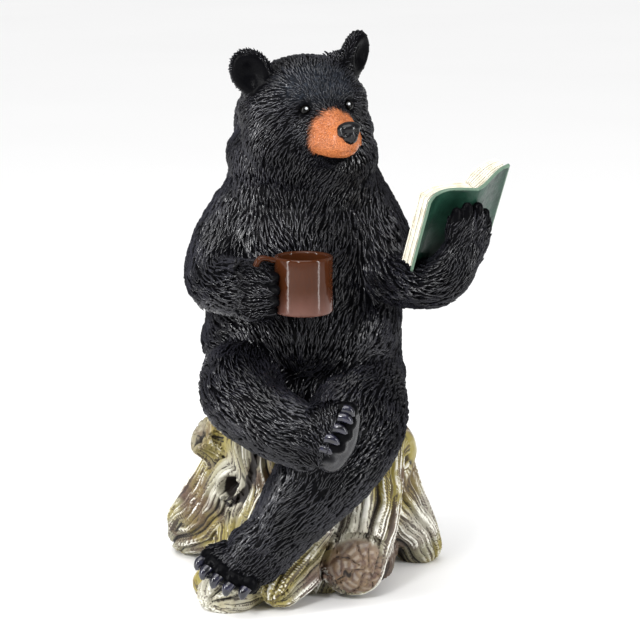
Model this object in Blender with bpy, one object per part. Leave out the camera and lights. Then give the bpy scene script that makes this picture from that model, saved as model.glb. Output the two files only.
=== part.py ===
"""A cast black bear seated on a tree stump, reading an open book, with a mug in its other paw.

The bear and the stump are free forms, so their places and radii are shares of the figure's height:
two-hundredths of it, from the centre of the stump's underside. The mug and the book are turned and
extruded from their own sizes, and the two paws are cut to fit them.
"""

import math
import random

import bmesh
import bpy
import numpy as np
from mathutils import Matrix, Vector, kdtree, noise

# Driving dimensions, in metres.
FIGURE_HEIGHT = 0.200  # floor to the tip of the higher ear
CLEARANCE = 0.0003  # gap between two pieces that touch
MUG_DIAMETER = 0.0200
MUG_HEIGHT = 0.0196
MUG_WALL = 0.0016
MUG_FLOOR = 0.0020
HANDLE_REACH = 0.0082  # out from the mug's wall
HANDLE_SPAN = 0.0166  # between the middles of its two ends
HANDLE_ARCH = 0.16  # how far its top rises above its upper end, as a share of half the span
HANDLE_THICKNESS = 0.0020
HANDLE_WIDTH = 0.0032
BOOK_LENGTH = 0.0310  # along the spine
BOOK_HALF_WIDTH = 0.0209  # from the spine to a fore-edge, measured flat
BOOK_COVER = 0.0012
BOOK_PAGES = 0.0049  # thickness of one half's leaves
BOOK_RIM = 0.0008  # the cover stands this far beyond the leaves

# The triangles each free form is left with, before it is fitted to its neighbours.
BEAR_TRIANGLES = 5920
STUMP_TRIANGLES = 1850

SHARE = FIGURE_HEIGHT / 200

# Places of the mug and of the book, in shares of the height, and their turns in degrees.
MUG_CENTRE = (0.2, -47.0, 117.0)
HANDLE_TURN = 192
BOOK_CENTRE = (55.6, -40.0, 136.9)
BOOK_SPINE = (0.173, -0.502, 0.847)  # up along the spine
BOOK_ACROSS = (-0.719, -0.653, -0.240)  # from the far half to the near half

# The head's place and turn: towards the book, a little down, and tipped.
HEAD_CENTRE = (-0.5, -8, 171)
HEAD_YAW, HEAD_PITCH, HEAD_ROLL = 25, -4, 4.5

# Rounded masses of the body: centre x, y, z, then radii along x, y, z.
BODY_MASSES = [
    (0, 3, 76, 36, 30, 24),
    (0, -2, 97, 34.5, 31, 27),
    (0, -1, 122, 31, 26, 27),
    (-4.5, -2, 90, 31.7, 28, 18),
    (0, 0, 145, 27, 22, 20),
    (-0.5, -4, 156, 26.4, 22, 17),
    (-9.5, 2, 166, 14.8, 16, 17),
    (0, 33, 68, 6, 7, 6),
]

# Limbs, as stations of centre x, y, z and radius.
RIGHT_ARM = [
    (-18, 0, 140, 11),
    (-27, -7, 125, 11.5),
    (-30.6, -19, 114.8, 10.3),
    (-25, -33, 113.6, 9.4),
    (-16.5, -42, 115, 9),
]
LEFT_ARM = [
    (19, 0, 140, 11),
    (26.5, -9, 126, 11),
    (31, -20, 116, 9.5),
    (40, -36, 115.2, 8),
    (48.5, -44, 119, 8),
    (53.5, -46, 127, 6.8),
]
RIGHT_LEG = [
    (-16.5, -2, 77, 17.5),
    (-21.5, -30, 78.5, 14.2),
    (-20.5, -42, 75.5, 12.6),
    (-10.5, -51, 70, 11.5),
    (1, -57, 65.5, 10.2),
]
LEFT_LEG = [
    (19, -4, 72, 17),
    (18.5, -28, 65, 17.2),
    (11.5, -40, 55, 16.5),
    (0, -42, 40.2, 13.3),
    (-8.8, -42, 27.9, 10.6),
    (-16.4, -43.5, 20.4, 10.6),
]
SOLE = [(13, -59.5, 73, 5.5), (11.5, -60, 66, 5.6), (8.5, -60, 60.4, 5.3)]
LIMBS = [RIGHT_ARM, LEFT_ARM, RIGHT_LEG, LEFT_LEG]

# Paws: rounded masses, then fingers and toes as short limbs.
FOOT_MASSES = [(6, -60, 68, 8, 6.5, 10.5), (-23, -45, 17, 12, 8.5, 7)]
FINGERS = [
    [(-20, -45, 120.6, 3.6), (-17.6, -51.6, 120.8, 3), (-12.8, -54.2, 120.6, 2.5), (-9.6, -53, 120.4, 2)],
    [(-20, -46, 116.4, 3.6), (-17.6, -52.4, 116.4, 3), (-12.8, -54.8, 116.3, 2.5), (-9.4, -53.8, 116.2, 2)],
    [(-20, -46, 112.2, 3.6), (-17.6, -52.2, 112.2, 3), (-12.8, -54.6, 112.1, 2.5), (-9.6, -53.6, 112, 2)],
    [(-20, -45, 108.4, 3.4), (-17.6, -51.2, 108.2, 2.8), (-13.2, -53.6, 108.2, 2.4), (-10, -52.4, 108, 2)],
    [(52.5, -46, 129, 4.2), (51.6, -48.4, 133.7, 3.4), (51.2, -50.8, 138.7, 2.6), (51.6, -51.6, 142.3, 1.8)],
    [(54, -46, 129, 4.4), (54.4, -47.4, 134.4, 3.6), (54.8, -49, 139.6, 2.7), (55.2, -49.6, 143.6, 1.9)],
    [(56, -44, 128, 4.4), (57.4, -44, 133.7, 3.6), (58.4, -45.2, 138.8, 2.7), (59, -45.4, 143, 1.9)],
    [(56.5, -41, 126, 4.2), (59.4, -39.8, 130.4, 3.6), (61, -40, 135.5, 2.6), (61.8, -40, 140.2, 1.8)],
]
TOES = [
    [(10, -62, 76, 4), (15.8, -63, 76.8, 3)],
    [(9, -63, 72.6, 4), (15.2, -64.5, 73.2, 3.1)],
    [(7.5, -63, 69, 4), (14, -65, 69.4, 3.1)],
    [(6, -63, 65, 4), (12, -65, 65.4, 3.1)],
    [(4, -62, 61.5, 4), (9.5, -64, 61, 3)],
    [(-26, -42, 20, 5), (-32.6, -45.5, 20.2, 3.5)],
    [(-25, -43, 19, 5), (-31, -48.8, 18.6, 3.8)],
    [(-24, -44, 18, 5), (-28, -51.2, 16.6, 3.9)],
    [(-22, -44, 17, 5), (-24, -52.6, 14.6, 3.9)],
    [(-18, -44, 16, 5), (-18.8, -52.4, 12.8, 3.8)],
]
DIGITS = FINGERS + TOES

# Claws, from root to tip with the radius at the root.
CLAWS = [
    [(13.2, -66.6, 78, 1.3), (17.4, -67.4, 76, 0.8)],
    [(12, -67.6, 75.4, 1.3), (16.8, -68.6, 73.8, 0.8)],
    [(10.4, -67.8, 71.8, 1.3), (15, -69, 70.4, 0.8)],
    [(7.6, -67.4, 68.2, 1.3), (12.4, -68.8, 66.6, 0.8)],
    [(6, -66, 64.2, 1.3), (10, -67.4, 63, 0.8)],
    [(-34.4, -47.5, 20, 1.5), (-37.2, -50, 16.8, 0.9)],
    [(-32.4, -51.6, 18.2, 1.5), (-35.2, -54, 14.6, 0.9)],
    [(-28.8, -54.2, 16, 1.5), (-31.4, -56.4, 12.2, 0.9)],
    [(-24.6, -55.6, 13.6, 1.5), (-27, -57.4, 9.8, 0.9)],
    [(-19.2, -55.2, 12, 1.5), (-21.4, -57, 8.4, 0.9)],
]

# The stump: trunk and flared roots as limbs, then its rounded masses.
TRUNK = [(0, 8, 6, 34), (0, 8, 24, 32), (0, 8, 38, 31), (0, 8, 50, 31)]
ROOTS = [
    [(-16, 12, 40, 17), (-30, 17, 26, 13.5), (-42, 24, 12.5, 9.5)],
    [(-20, 2, 34, 15), (-33, 13, 17, 10.5), (-43, 25, 7.5, 8)],
    [(20, 12, 43, 18), (31, 14, 27, 13), (42.5, 18, 6.5, 9.2)],
    [(22, -6, 44, 14), (22, -20, 28, 12), (17.5, -27, 12, 11)],
    [(8, -14, 30, 12), (1, -30, 15, 9), (-8, -41, 7, 6.5)],
    [(-8, -16, 24, 14), (-19, -32, 9, 10), (-27, -40, 6, 8.5)],
    [(-12, 24, 36, 15), (-20, 36, 16, 11), (-25, 43, 6, 7)],
    [(14, 26, 36, 15), (20, 36, 16, 11), (24, 43, 6, 7)],
]
BRANCH = [(-24, 10, 40, 9.5), (-31, 6, 47, 7.4), (-38.1, 2, 52.6, 6.8), (-40, 1, 54, 6.8)]
STUMP_MASSES = [
    (-27, 10, 40, 9.5, 10, 13),
    (-26.5, -39, 5, 11, 10, 8),
    (-33, -17, 2, 7, 15, 7),
    (32, 6, 44, 9, 9, 12),
    (-44, 27, 7, 7.5, 8, 7.5),
]

# Two cut ends: the branch stub's and the front root's, as centre, the way it faces, radius and dish.
CUT_ENDS = [
    ((-38.6, 1.8, 53), (-0.76, -0.41, 0.5), 7.4, 2.2),
    ((18, -36, 11), (0, -1, 0), 9.5, 1.6),
]
KNOT_HOLE = (-27.4, -9, 35.3)
CREVICE = [(-18.2, -18.3, 52), (-18.5, -18, 45.3), (-20, -17, 39.8), (-22.5, -14.8, 33.6), (-27, -9.4, 29)]

# The face, in the head's own axes: x to its left, -y forwards, z up from the head's centre.
MUZZLE = [(0, -12, -5, 12.5), (0, -20, -6.5, 9.4), (0, -27, -8, 7.5), (0, -31.6, -8.6, 6)]
JAW = [(0, -12, -10, 10), (0, -21, -11.8, 5.6), (0, -27.5, -12.6, 3.9)]
EYE = (8.2, -18.6, 2.3)
EYE_RADIUS = 2.1
EARS = [(-18.7, -2.5, 16.2, -32), (21.4, -2.5, 17.8, 36)]  # place, and turn outwards in degrees
EAR_LEAN = 24


def share(values):
    """The place or the radii that these shares of the height give, in metres."""
    return Vector(values) * SHARE


def head_frame():
    """The head's own axes, set in the figure."""
    turn = (
        Matrix.Rotation(math.radians(HEAD_YAW), 4, "Z")
        @ Matrix.Rotation(math.radians(HEAD_PITCH), 4, "X")
        @ Matrix.Rotation(math.radians(-HEAD_ROLL), 4, "Y")
    )
    return Matrix.Translation(share(HEAD_CENTRE)) @ turn


def ear_frames():
    """The two ears' own axes, their hollows facing forwards and outwards."""
    frames = []
    for x, y, z, outward in EARS:
        lean = Matrix.Rotation(math.radians(math.copysign(EAR_LEAN, x)), 4, "Y")
        turn = Matrix.Rotation(math.radians(outward), 4, "Z")
        frames.append(head_frame() @ Matrix.Translation(share((x, y, z))) @ lean @ turn)
    return frames


def add_mass(bm, centre, radii, frame=Matrix.Identity(4), turn=Matrix.Identity(4)):
    """Adds one ellipsoid to a block-out."""
    place = frame @ Matrix.Translation(share(centre)) @ turn @ Matrix.Diagonal((*share(radii), 1))
    bmesh.ops.create_icosphere(bm, subdivisions=3, radius=1, matrix=place)


def limb_points(stations, spacing=0.3):
    """Centres and radii close together on a smooth curve through a limb's stations."""
    points = [Vector(station) for station in stations]
    ends = [2 * points[0] - points[1], *points, 2 * points[-1] - points[-2]]
    run = []
    for i in range(len(points) - 1):
        before, start, end, after = ends[i : i + 4]
        steps = max(2, math.ceil((end - start).xyz.length / (spacing * min(start.w, end.w))))
        for k in range(steps + 1):
            t = k / steps
            slope = (end - before) * t
            bend = (2 * before - 5 * start + 4 * end - after) * t**2
            twist = (3 * start - before - 3 * end + after) * t**3
            run.append(0.5 * (2 * start + slope + bend + twist))
    return run


def add_limb(bm, stations, frame=Matrix.Identity(4)):
    """Adds a limb to a block-out, as balls along its curve."""
    for p in limb_points(stations):
        add_mass(bm, p.xyz, (p.w, p.w, p.w), frame)


def add_skin(bm, skin):
    """Adds an earlier skin to a block-out, and clears it away."""
    bm.from_mesh(skin)
    bpy.data.meshes.remove(skin)


def new_object(name, mesh):
    """A new object for a mesh, in the scene."""
    thing = bpy.data.objects.new(name, mesh)
    bpy.context.scene.collection.objects.link(thing)
    return thing


def settled(thing):
    """The mesh that an object's modifiers give; the object itself is cleared away."""
    graph = bpy.context.evaluated_depsgraph_get()
    made = bpy.data.meshes.new_from_object(thing.evaluated_get(graph))
    rough = thing.data
    bpy.data.objects.remove(thing)
    bpy.data.meshes.remove(rough)
    return made


def skin_over(bm, voxel, smoothing):
    """One closed skin around everything in a block-out, with its creases softened."""
    mesh = bpy.data.meshes.new("block_out")
    bm.to_mesh(mesh)
    bm.free()
    thing = new_object("block_out", mesh)
    remesh = thing.modifiers.new("skin", "REMESH")
    remesh.mode = "VOXEL"
    remesh.voxel_size = voxel * SHARE
    smooth = thing.modifiers.new("soften", "SMOOTH")
    smooth.factor = 0.5
    smooth.iterations = smoothing
    return settled(thing)


def places_of(mesh):
    """Where a skin's corners are, as rows of x, y, z."""
    places = np.empty(len(mesh.vertices) * 3)
    mesh.vertices.foreach_get("co", places)
    return places.reshape(-1, 3)


def normals_of(mesh):
    """Which way is out at each of a skin's corners."""
    normals = np.empty(len(mesh.vertices) * 3)
    mesh.vertex_normals.foreach_get("vector", normals)
    return normals.reshape(-1, 3)


def move_to(mesh, places):
    """Moves a skin's corners to new places."""
    mesh.vertices.foreach_set("co", places.ravel())
    mesh.update()


def inside_of(frame, places):
    """Places given in a frame's own axes."""
    back = np.array(frame.inverted())
    return places @ back[:3, :3].T + back[:3, 3]


def press(mesh, centre, radii, push, frame=Matrix.Identity(4)):
    """Presses a soft hollow into a skin, or raises it: the push is a shift in the frame's axes."""
    places = places_of(mesh)
    ball = frame @ Matrix.Translation(share(centre)) @ Matrix.Diagonal((*share(radii), 1))
    reach = np.minimum(1, (inside_of(ball, places) ** 2).sum(axis=1))
    shift = np.array(frame.to_3x3() @ share(push))
    move_to(mesh, places + shift * ((1 - reach) ** 2)[:, None])


def groove(mesh, path, width, depth, frame=Matrix.Identity(4)):
    """Cuts a groove into a skin, along a path of places."""
    places, normals = places_of(mesh), normals_of(mesh)
    reach = np.full(len(places), 1.0)
    for point in limb_points([(*place, width) for place in path], 0.5):
        away = places - np.array(frame @ share(point.xyz))
        reach = np.minimum(reach, np.sqrt((away**2).sum(axis=1)) / (width * SHARE))
    move_to(mesh, places - normals * (depth * SHARE * (1 - reach**2) ** 2)[:, None])


# How the fur lies on the head's left half: places and directions in the head's axes.
HEAD_STRANDS = [
    ((20, -4, 0), (0.5, 0.6, -0.7)),
    ((12, -14, 10), (0.5, 0.8, 0.3)),
    ((10, 16, 0), (0, 0.3, -1)),
]


def comb_lines():
    """The way the fur lies, as places and directions: down each limb, down the back and the belly."""
    lines = []
    for limb in LIMBS:
        run = limb_points(limb)
        for here, there in zip(run, run[1:]):
            if (there - here).xyz.length > 0.01:
                lines.append((share(here.xyz), (there - here).xyz.normalized()))
    for side in (-1, 1):
        for z in (150, 135, 120, 105, 90, 75):
            lines.append((share((side * 12, -20, z)), Vector((-side * 0.5, 0, -1)).normalized()))
            lines.append((share((side * 16, 20, z)), Vector((-side * 0.2, 0, -1)).normalized()))
    head = head_frame()
    for side in (-1, 1):
        flip = Vector((side, 1, 1))
        for place, way in HEAD_STRANDS:
            there = head.to_3x3() @ (flip * Vector(way))
            lines.append((head @ share(flip * Vector(place)), there.normalized()))
    return lines


def fur_reach(place, head):
    """How strongly the fur stands out here: not at all on the muzzle, paws, claws and ears."""
    face = head.inverted() @ place / SHARE
    if face.length < 45 and face.z > -18 and (face.y < -12 and abs(face.x) < 15 or face.z > 13):
        return 0.0
    tip = min((place / SHARE - Vector(digit[-1][:3])).length for digit in DIGITS)
    near_head = 0.45 if face.length < 26 else 1.0
    return near_head * min(1, max(0, (tip - 7) / 6))


def add_locks(mesh, pitch, length, width, height):
    """Raises tapering locks of fur on a skin, each laid along the fur and overlapping the next."""
    lines = comb_lines()
    combs = kdtree.KDTree(len(lines))
    for i, (place, _) in enumerate(lines):
        combs.insert(place, i)
    combs.balance()
    head = head_frame()
    places, normals = places_of(mesh), normals_of(mesh)
    tree = kdtree.KDTree(len(places))
    for i, place in enumerate(places):
        tree.insert(place, i)
    tree.balance()
    chance = random.Random(7)
    order = list(range(len(places)))
    chance.shuffle(order)
    taken = np.zeros(len(places), dtype=bool)
    rise = np.zeros(len(places))
    for i in order:
        if taken[i]:
            continue
        here, out = Vector(places[i]), Vector(normals[i])
        taken[[hit[1] for hit in tree.find_range(here, pitch * SHARE)]] = True
        strength = fur_reach(here, head)
        way = sum((lines[k][1] / (reach + 0.001) for _, k, reach in combs.find_n(here, 6)), Vector())
        way -= out * way.dot(out)
        if strength == 0 or way.length < 1e-6:
            continue
        way.normalize()
        long = length * SHARE * (0.6 + 0.4 * strength)
        near = np.array([hit[1] for hit in tree.find_range(here, long)])
        away = places[near] - places[i]
        along = away @ np.array(way) / long
        narrow = width * SHARE * (1 - 0.8 * np.maximum(0, along))
        across = np.abs(away @ np.array(out.cross(way))) / narrow
        fade = np.minimum(1, 1.2 + 1.2 * along) * np.minimum(1, (1 - along) / 0.4)
        crest = np.maximum(0, 1 - across) * fade * (normals[near] @ normals[i] > 0.3) * strength
        rise[near] = np.maximum(rise[near], crest)
    move_to(mesh, places + normals * ((rise - 0.4) * height * SHARE)[:, None])


def add_grain(mesh, depth):
    """Cuts the wood's flowing grain: ridges that run down the trunk and out along each root."""
    places, normals = places_of(mesh) / SHARE, normals_of(mesh)
    nearest = np.full(len(places), 1e9)
    turn = np.zeros(len(places))
    count = np.zeros(len(places))
    for r, root in enumerate([TRUNK, BRANCH, *ROOTS]):
        points = limb_points(root)
        for here, there in zip(points, points[1:]):
            way = (there - here).xyz
            if way.length < 0.01:
                continue
            way.normalize()
            across = (Vector((1, 0.3, 0)) - way * way.x).normalized()
            out = places - np.array(here.xyz)
            reach = np.sqrt((out**2).sum(axis=1)) - here.w
            angle = np.arctan2(out @ np.array(way.cross(across)), out @ np.array(across))
            closer = reach < nearest
            nearest[closer] = reach[closer]
            turn[closer] = angle[closer]
            count[closer] = 14 if r == 0 else 8
    waver = np.array([noise.noise(Vector(place) * 0.035) for place in places])
    ridge = np.abs(np.sin(0.5 * count * turn + 3.5 * waver)) ** 0.7 - 0.65
    fade = np.clip(places[:, 2] / 6, 0, 1)
    move_to(mesh, places * SHARE + normals * (ridge * fade * depth * SHARE)[:, None])


def decimated(mesh, triangles, kept=None):
    """The skin in flat facets, with about this many triangles; finer where more is to be kept."""
    mesh.calc_loop_triangles()
    thing = new_object("facets", mesh)
    fewer = thing.modifiers.new("facets", "DECIMATE")
    fewer.ratio = triangles / len(mesh.loop_triangles)
    if kept is not None:
        group = thing.vertex_groups.new(name="plain")
        for i, weight in enumerate(kept):
            group.add([i], 1 - 0.9 * weight, "REPLACE")
        fewer.vertex_group = group.name
        fewer.vertex_group_factor = 0.00005
    return settled(thing)


def body_skin():
    """The bear's big masses, with its face and digits set on them."""
    head = head_frame()
    bm = bmesh.new()
    for mass in BODY_MASSES:
        add_mass(bm, mass[:3], mass[3:])
    for limb in LIMBS:
        add_limb(bm, limb)
    add_mass(bm, (0.5, 0, 1.5), (22.6, 21, 18), head)
    for side in (-1, 1):
        add_mass(bm, (side * 11, -3, -7.5), (12.4, 13, 12.3), head)
    add_mass(bm, (0, -9, 6), (14, 11, 10.5), head)
    body = skin_over(bm, 1.0, 12)
    bm = bmesh.new()
    add_skin(bm, body)
    for mass in FOOT_MASSES:
        add_mass(bm, mass[:3], mass[3:])
    add_limb(bm, SOLE)
    add_limb(bm, MUZZLE, head)
    add_limb(bm, JAW, head)
    for ear in ear_frames():
        add_mass(bm, (0, 0, 0), (7.5, 3.9, 8.9), ear)
        add_mass(bm, (0, 1.5, -6), (6.5, 4.5, 7), ear)
    add_mass(bm, (15.5, -2, 14.5), (6.5, 4.2, 5.5), head)
    for side in (-1, 1):
        add_mass(bm, (side * 7.2, -15.2, 6), (5.5, 5, 3.6), head)
    return skin_over(bm, 0.9, 5)


def bear_skin():
    """The whole bear, closed and smooth, before its locks are raised."""
    head = head_frame()
    skin = body_skin()
    x, y, z = EYE
    for side in (-1, 1):
        press(skin, (side * x, y - 1.6, z), (3.8, 5, 2.8), (0, 1.5, 0), head)
        inner, outer = (side * (x - 2.6), y - 2.4, z - 1.6), (side * (x + 3), y - 0.8, z - 1.4)
        groove(skin, [inner, (side * x, y - 2.6, z - 2.6), outer], 1.1, -0.4, head)
    for ear in ear_frames():
        press(skin, (0, -4.5, 0.2), (6, 6.5, 7.2), (0, 3.2, -0.3), ear)
    bm = bmesh.new()
    add_skin(bm, skin)
    for digit in DIGITS:
        add_limb(bm, digit)
    skin = skin_over(bm, 0.8, 3)
    bm = bmesh.new()
    add_skin(bm, skin)
    for side in (-1, 1):
        add_mass(bm, (side * x, y, z), (EYE_RADIUS, EYE_RADIUS, EYE_RADIUS), head)
        add_mass(bm, (side * 2.2, -36.2, -5.6), (1.7, 2.6, 1.9), head)
    add_mass(bm, (0, -36, -4.3), (3.9, 3.2, 2.1), head)
    add_mass(bm, (0, -36.4, -6.6), (2.7, 2.7, 2.9), head)
    for claw in CLAWS:
        add_limb(bm, claw)
    return skin_over(bm, 0.65, 1)


def carve_face(skin):
    """Cuts the mouth, the cleft under the nose and the nostrils."""
    head = head_frame()
    for side in (-1, 1):
        front = [(0, -36.4, -12.4), (side * 3.4, -34.4, -13.6)]
        groove(skin, [*front, (side * 6, -29.5, -13.9), (side * 8, -24, -12.4)], 1.2, 1.2, head)
        press(skin, (side * 2.2, -39.6, -6.4), (1.3, 2.2, 1.1), (0, 1.3, 0), head)
    groove(skin, [(0, -39, -8.6), (0, -36.8, -12.4)], 0.9, 0.8, head)


def detail_of(skin):
    """Which corners carry fine shapes: the face, the ears and the claws."""
    places = places_of(skin)
    face = inside_of(head_frame(), places) / SHARE
    kept = (np.sqrt((face**2).sum(axis=1)) < 46) & ((face[:, 1] < -10) | (face[:, 2] > 13))
    for claw in CLAWS:
        away = places / SHARE - np.array(claw[0][:3])
        kept |= np.sqrt((away**2).sum(axis=1)) < 6
    return kept.astype(float)


def cut_end(mesh, centre, facing, radius, dish):
    """Cuts an end of a branch or root flat, a little dished and cracked in a star."""
    places = places_of(mesh) / SHARE
    normal = Vector(facing).normalized()
    level = normal.orthogonal().normalized()
    away = places - np.array(centre)
    beyond = away @ np.array(normal)
    across, up = away @ np.array(level), away @ np.array(normal.cross(level))
    reach = np.hypot(across, up)
    crack = 0.8 * np.clip(1 - 3 * np.abs(np.sin(3.5 * np.arctan2(up, across))), 0, 1) * (reach < radius)
    face = -dish * np.maximum(0, 1 - (reach / (0.7 * radius)) ** 2) - crack
    cut = np.maximum(0, beyond - face) * (reach < radius + 3) * (beyond > -dish - 2)
    move_to(mesh, (places - cut[:, None] * np.array(normal)) * SHARE)


def stump_skin():
    """The stump, closed, with its grain, its two cut ends, its knot hole and its crevice."""
    bm = bmesh.new()
    for root in [TRUNK, BRANCH, *ROOTS]:
        add_limb(bm, root)
    for mass in STUMP_MASSES:
        add_mass(bm, mass[:3], mass[3:])
    skin = skin_over(bm, 1.2, 4)
    add_grain(skin, 2.6)
    press(skin, KNOT_HOLE, (5, 6, 6.5), (3, 4.5, 0))
    groove(skin, CREVICE, 3, 3)
    for centre, facing, radius, dish in CUT_ENDS:
        cut_end(skin, centre, facing, radius, dish)
    return skin


def cut_box(size, centre):
    """A plain block for trimming, never shown."""
    bm = bmesh.new()
    bmesh.ops.create_cube(bm, size=1, matrix=Matrix.Translation(centre) @ Matrix.Diagonal((*size, 1)))
    mesh = bpy.data.meshes.new("block")
    bm.to_mesh(mesh)
    bm.free()
    return hidden(new_object("block", mesh))


def hidden(thing):
    """Marks a piece as a cutter, which is never shown."""
    thing.hide_render = True
    thing.display_type = "WIRE"
    return thing


def add_cut(thing, cutter, operation="DIFFERENCE"):
    """Takes a cutter out of a piece, or joins it on."""
    cut = thing.modifiers.new("fit", "BOOLEAN")
    cut.operation = operation
    cut.solver = "EXACT"
    cut.object = cutter


def grown(name, mesh, gap):
    """A copy of a skin that stands off it by a gap, for cutting a fitted seat."""
    thing = hidden(new_object(name, mesh.copy()))
    stand_off = thing.modifiers.new("gap", "DISPLACE")
    stand_off.strength = gap
    stand_off.mid_level = 0
    return thing


def lathe(name, profile):
    """A solid turned round the upright axis from a closed profile of radius and height."""
    bm = bmesh.new()
    corners = [bm.verts.new((r, 0, z)) for r, z in profile]
    edges = [bm.edges.new((a, b)) for a, b in zip(corners, corners[1:])]
    whole = {"axis": (0, 0, 1), "angle": math.tau, "steps": 24, "use_merge": True}
    bmesh.ops.spin(bm, geom=corners + edges, cent=(0, 0, 0), **whole)
    bmesh.ops.remove_doubles(bm, verts=bm.verts, dist=0.00001)
    bmesh.ops.recalc_face_normals(bm, faces=bm.faces)
    mesh = bpy.data.meshes.new(name)
    bm.to_mesh(mesh)
    bm.free()
    return new_object(name, mesh)


def handle(name, gap):
    """The mug's strap handle, swept round a C; a gap makes it thicker all round."""
    bm = bmesh.new()
    start = MUG_DIAMETER / 2 - MUG_WALL * 0.5
    rings = []
    for k in range(11):
        turn = math.pi * (k / 10 - 0.5)
        out = start + HANDLE_REACH * abs(math.cos(turn)) ** 0.6
        up = HANDLE_SPAN / 2 * (math.sin(turn) + HANDLE_ARCH * max(0, math.sin(2 * turn)))
        slope = Vector((math.cos(turn) * HANDLE_REACH, 0, math.sin(turn) * HANDLE_SPAN / 2)).normalized()
        half, wide = HANDLE_THICKNESS / 2 + gap, HANDLE_WIDTH / 2 + gap
        corners = []
        for a, b in ((-1, -0.7), (0, -1), (1, -0.7), (1, 0.7), (0, 1), (-1, 0.7)):
            corners.append(bm.verts.new(Vector((out, 0, up)) + slope * half * a + Vector((0, wide * b, 0))))
        rings.append(corners)
    for ring, after in zip(rings, rings[1:]):
        for i in range(len(ring)):
            bm.faces.new((ring[i], ring[i - 1], after[i - 1], after[i]))
    bm.faces.new(rings[0])
    bm.faces.new(rings[-1])
    bmesh.ops.recalc_face_normals(bm, faces=bm.faces)
    mesh = bpy.data.meshes.new(name)
    bm.to_mesh(mesh)
    bm.free()
    thing = new_object(name, mesh)
    thing.rotation_euler.z = math.radians(HANDLE_TURN)
    return thing


def coffee_mug():
    """The mug: a turned cup with a true wall, and its handle joined on."""
    outer, rise = MUG_DIAMETER / 2, MUG_HEIGHT
    inner = outer - MUG_WALL
    lip = MUG_WALL * 0.4
    profile = [(0, 0), (outer - 0.0012, 0), (outer, 0.0012), (outer, rise - lip), (outer - lip, rise)]
    profile += [(inner + lip, rise), (inner, rise - lip), (inner, MUG_FLOOR + 0.001)]
    profile += [(inner - 0.001, MUG_FLOOR), (0, MUG_FLOOR)]
    mug = lathe("coffee_mug", profile)
    drop = Matrix.Translation((0, 0, -rise / 2))
    mug.data.transform(drop)
    loop = handle("handle", 0)
    add_cut(mug, hidden(loop), "UNION")
    room = inner - 0.0004
    hollow = lathe("hollow", [(0, MUG_FLOOR), (room, MUG_FLOOR), (room, rise * 1.2), (0, rise * 1.2)])
    hollow.data.transform(drop)
    add_cut(mug, hidden(hollow))
    for thing in (mug, loop, hollow):
        thing.location = share(MUG_CENTRE)
    bpy.context.view_layer.update()
    return mug


def mug_room():
    """The mug's outer form with a gap round it, for the paw and the belly to be cut to."""
    outer, half = MUG_DIAMETER / 2 + CLEARANCE, MUG_HEIGHT / 2 + CLEARANCE
    room = lathe("mug_room", [(0, -half), (outer, -half), (outer, half), (0, half)])
    loop = handle("handle_room", CLEARANCE)
    for thing in (room, loop):
        thing.location = share(MUG_CENTRE)
    add_cut(room, hidden(loop), "UNION")
    return hidden(room)


def book_frame():
    """The book's own axes: x across it, y along its spine, z out of the pages."""
    up = Vector(BOOK_SPINE).normalized()
    across = Vector(BOOK_ACROSS)
    across = (across - up * across.dot(up)).normalized()
    axes = Matrix((across, up, across.cross(up))).transposed().to_4x4()
    return Matrix.Translation(share(BOOK_CENTRE)) @ axes


def book_rise(flat):
    """How far the cover's inner side stands above the spine; flat runs from -1, far, to 1, near."""
    if flat > 0:
        return BOOK_HALF_WIDTH * 0.28 * math.sin(0.78 * math.pi * flat)
    t = min(1, -1.12 * flat)
    return BOOK_HALF_WIDTH * 0.17 * t * t * (3 - 2 * t)


def leaf_level(flat):
    """How high the leaves lie on the cover's inner side, at this share of a half's width."""
    if flat > 0:
        return BOOK_PAGES * (1 - 0.36 * math.sin(math.pi * flat))
    return BOOK_PAGES * (1 + 0.42 * math.sin(math.pi * (-flat) ** 0.6))


def book_slab(name, low, high, width, length, gap=0):
    """One layer of the open book, both halves: extruded along the spine from its arched outline."""
    bm = bmesh.new()
    steps = 8
    lower, upper = [], []
    for k in range(-steps, steps + 1):
        flat = k / steps
        x = (width + gap) * 0.93 * flat
        there = flat * width / BOOK_HALF_WIDTH
        lower.append((x, book_rise(there) + low - gap))
        upper.append((x, book_rise(there) + high(there) + gap))
    outline = lower + upper[::-1]
    ends = []
    for y in (-length / 2 - gap, length / 2 + gap):
        ends.append([bm.verts.new((x, y, z)) for x, z in outline])
    bm.faces.new(ends[0])
    bm.faces.new(ends[1][::-1])
    for i in range(len(outline)):
        bm.faces.new((ends[0][i - 1], ends[0][i], ends[1][i], ends[1][i - 1]))
    bmesh.ops.recalc_face_normals(bm, faces=bm.faces)
    mesh = bpy.data.meshes.new(name)
    bm.to_mesh(mesh)
    bm.free()
    thing = new_object(name, mesh)
    thing.matrix_world = book_frame()
    return thing


def open_book():
    """The cover with its two blocks of leaves."""
    cover = book_slab("open_book", -BOOK_COVER, lambda _: 0, BOOK_HALF_WIDTH, BOOK_LENGTH)
    inset = BOOK_LENGTH - 2 * BOOK_RIM
    leaves = book_slab("leaves", -BOOK_COVER / 2, leaf_level, BOOK_HALF_WIDTH - BOOK_RIM, inset)
    add_cut(cover, hidden(leaves), "UNION")
    bpy.context.view_layer.update()
    return cover


def painted(thing, name, colour, roughness):
    """Gives a piece its paint."""
    paint = bpy.data.materials.new(name)
    paint.use_nodes = True
    shader = paint.node_tree.nodes["Principled BSDF"]
    shader.inputs["Base Color"].default_value = (*colour, 1)
    shader.inputs["Roughness"].default_value = roughness
    thing.data.materials.clear()
    thing.data.materials.append(paint)


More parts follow.
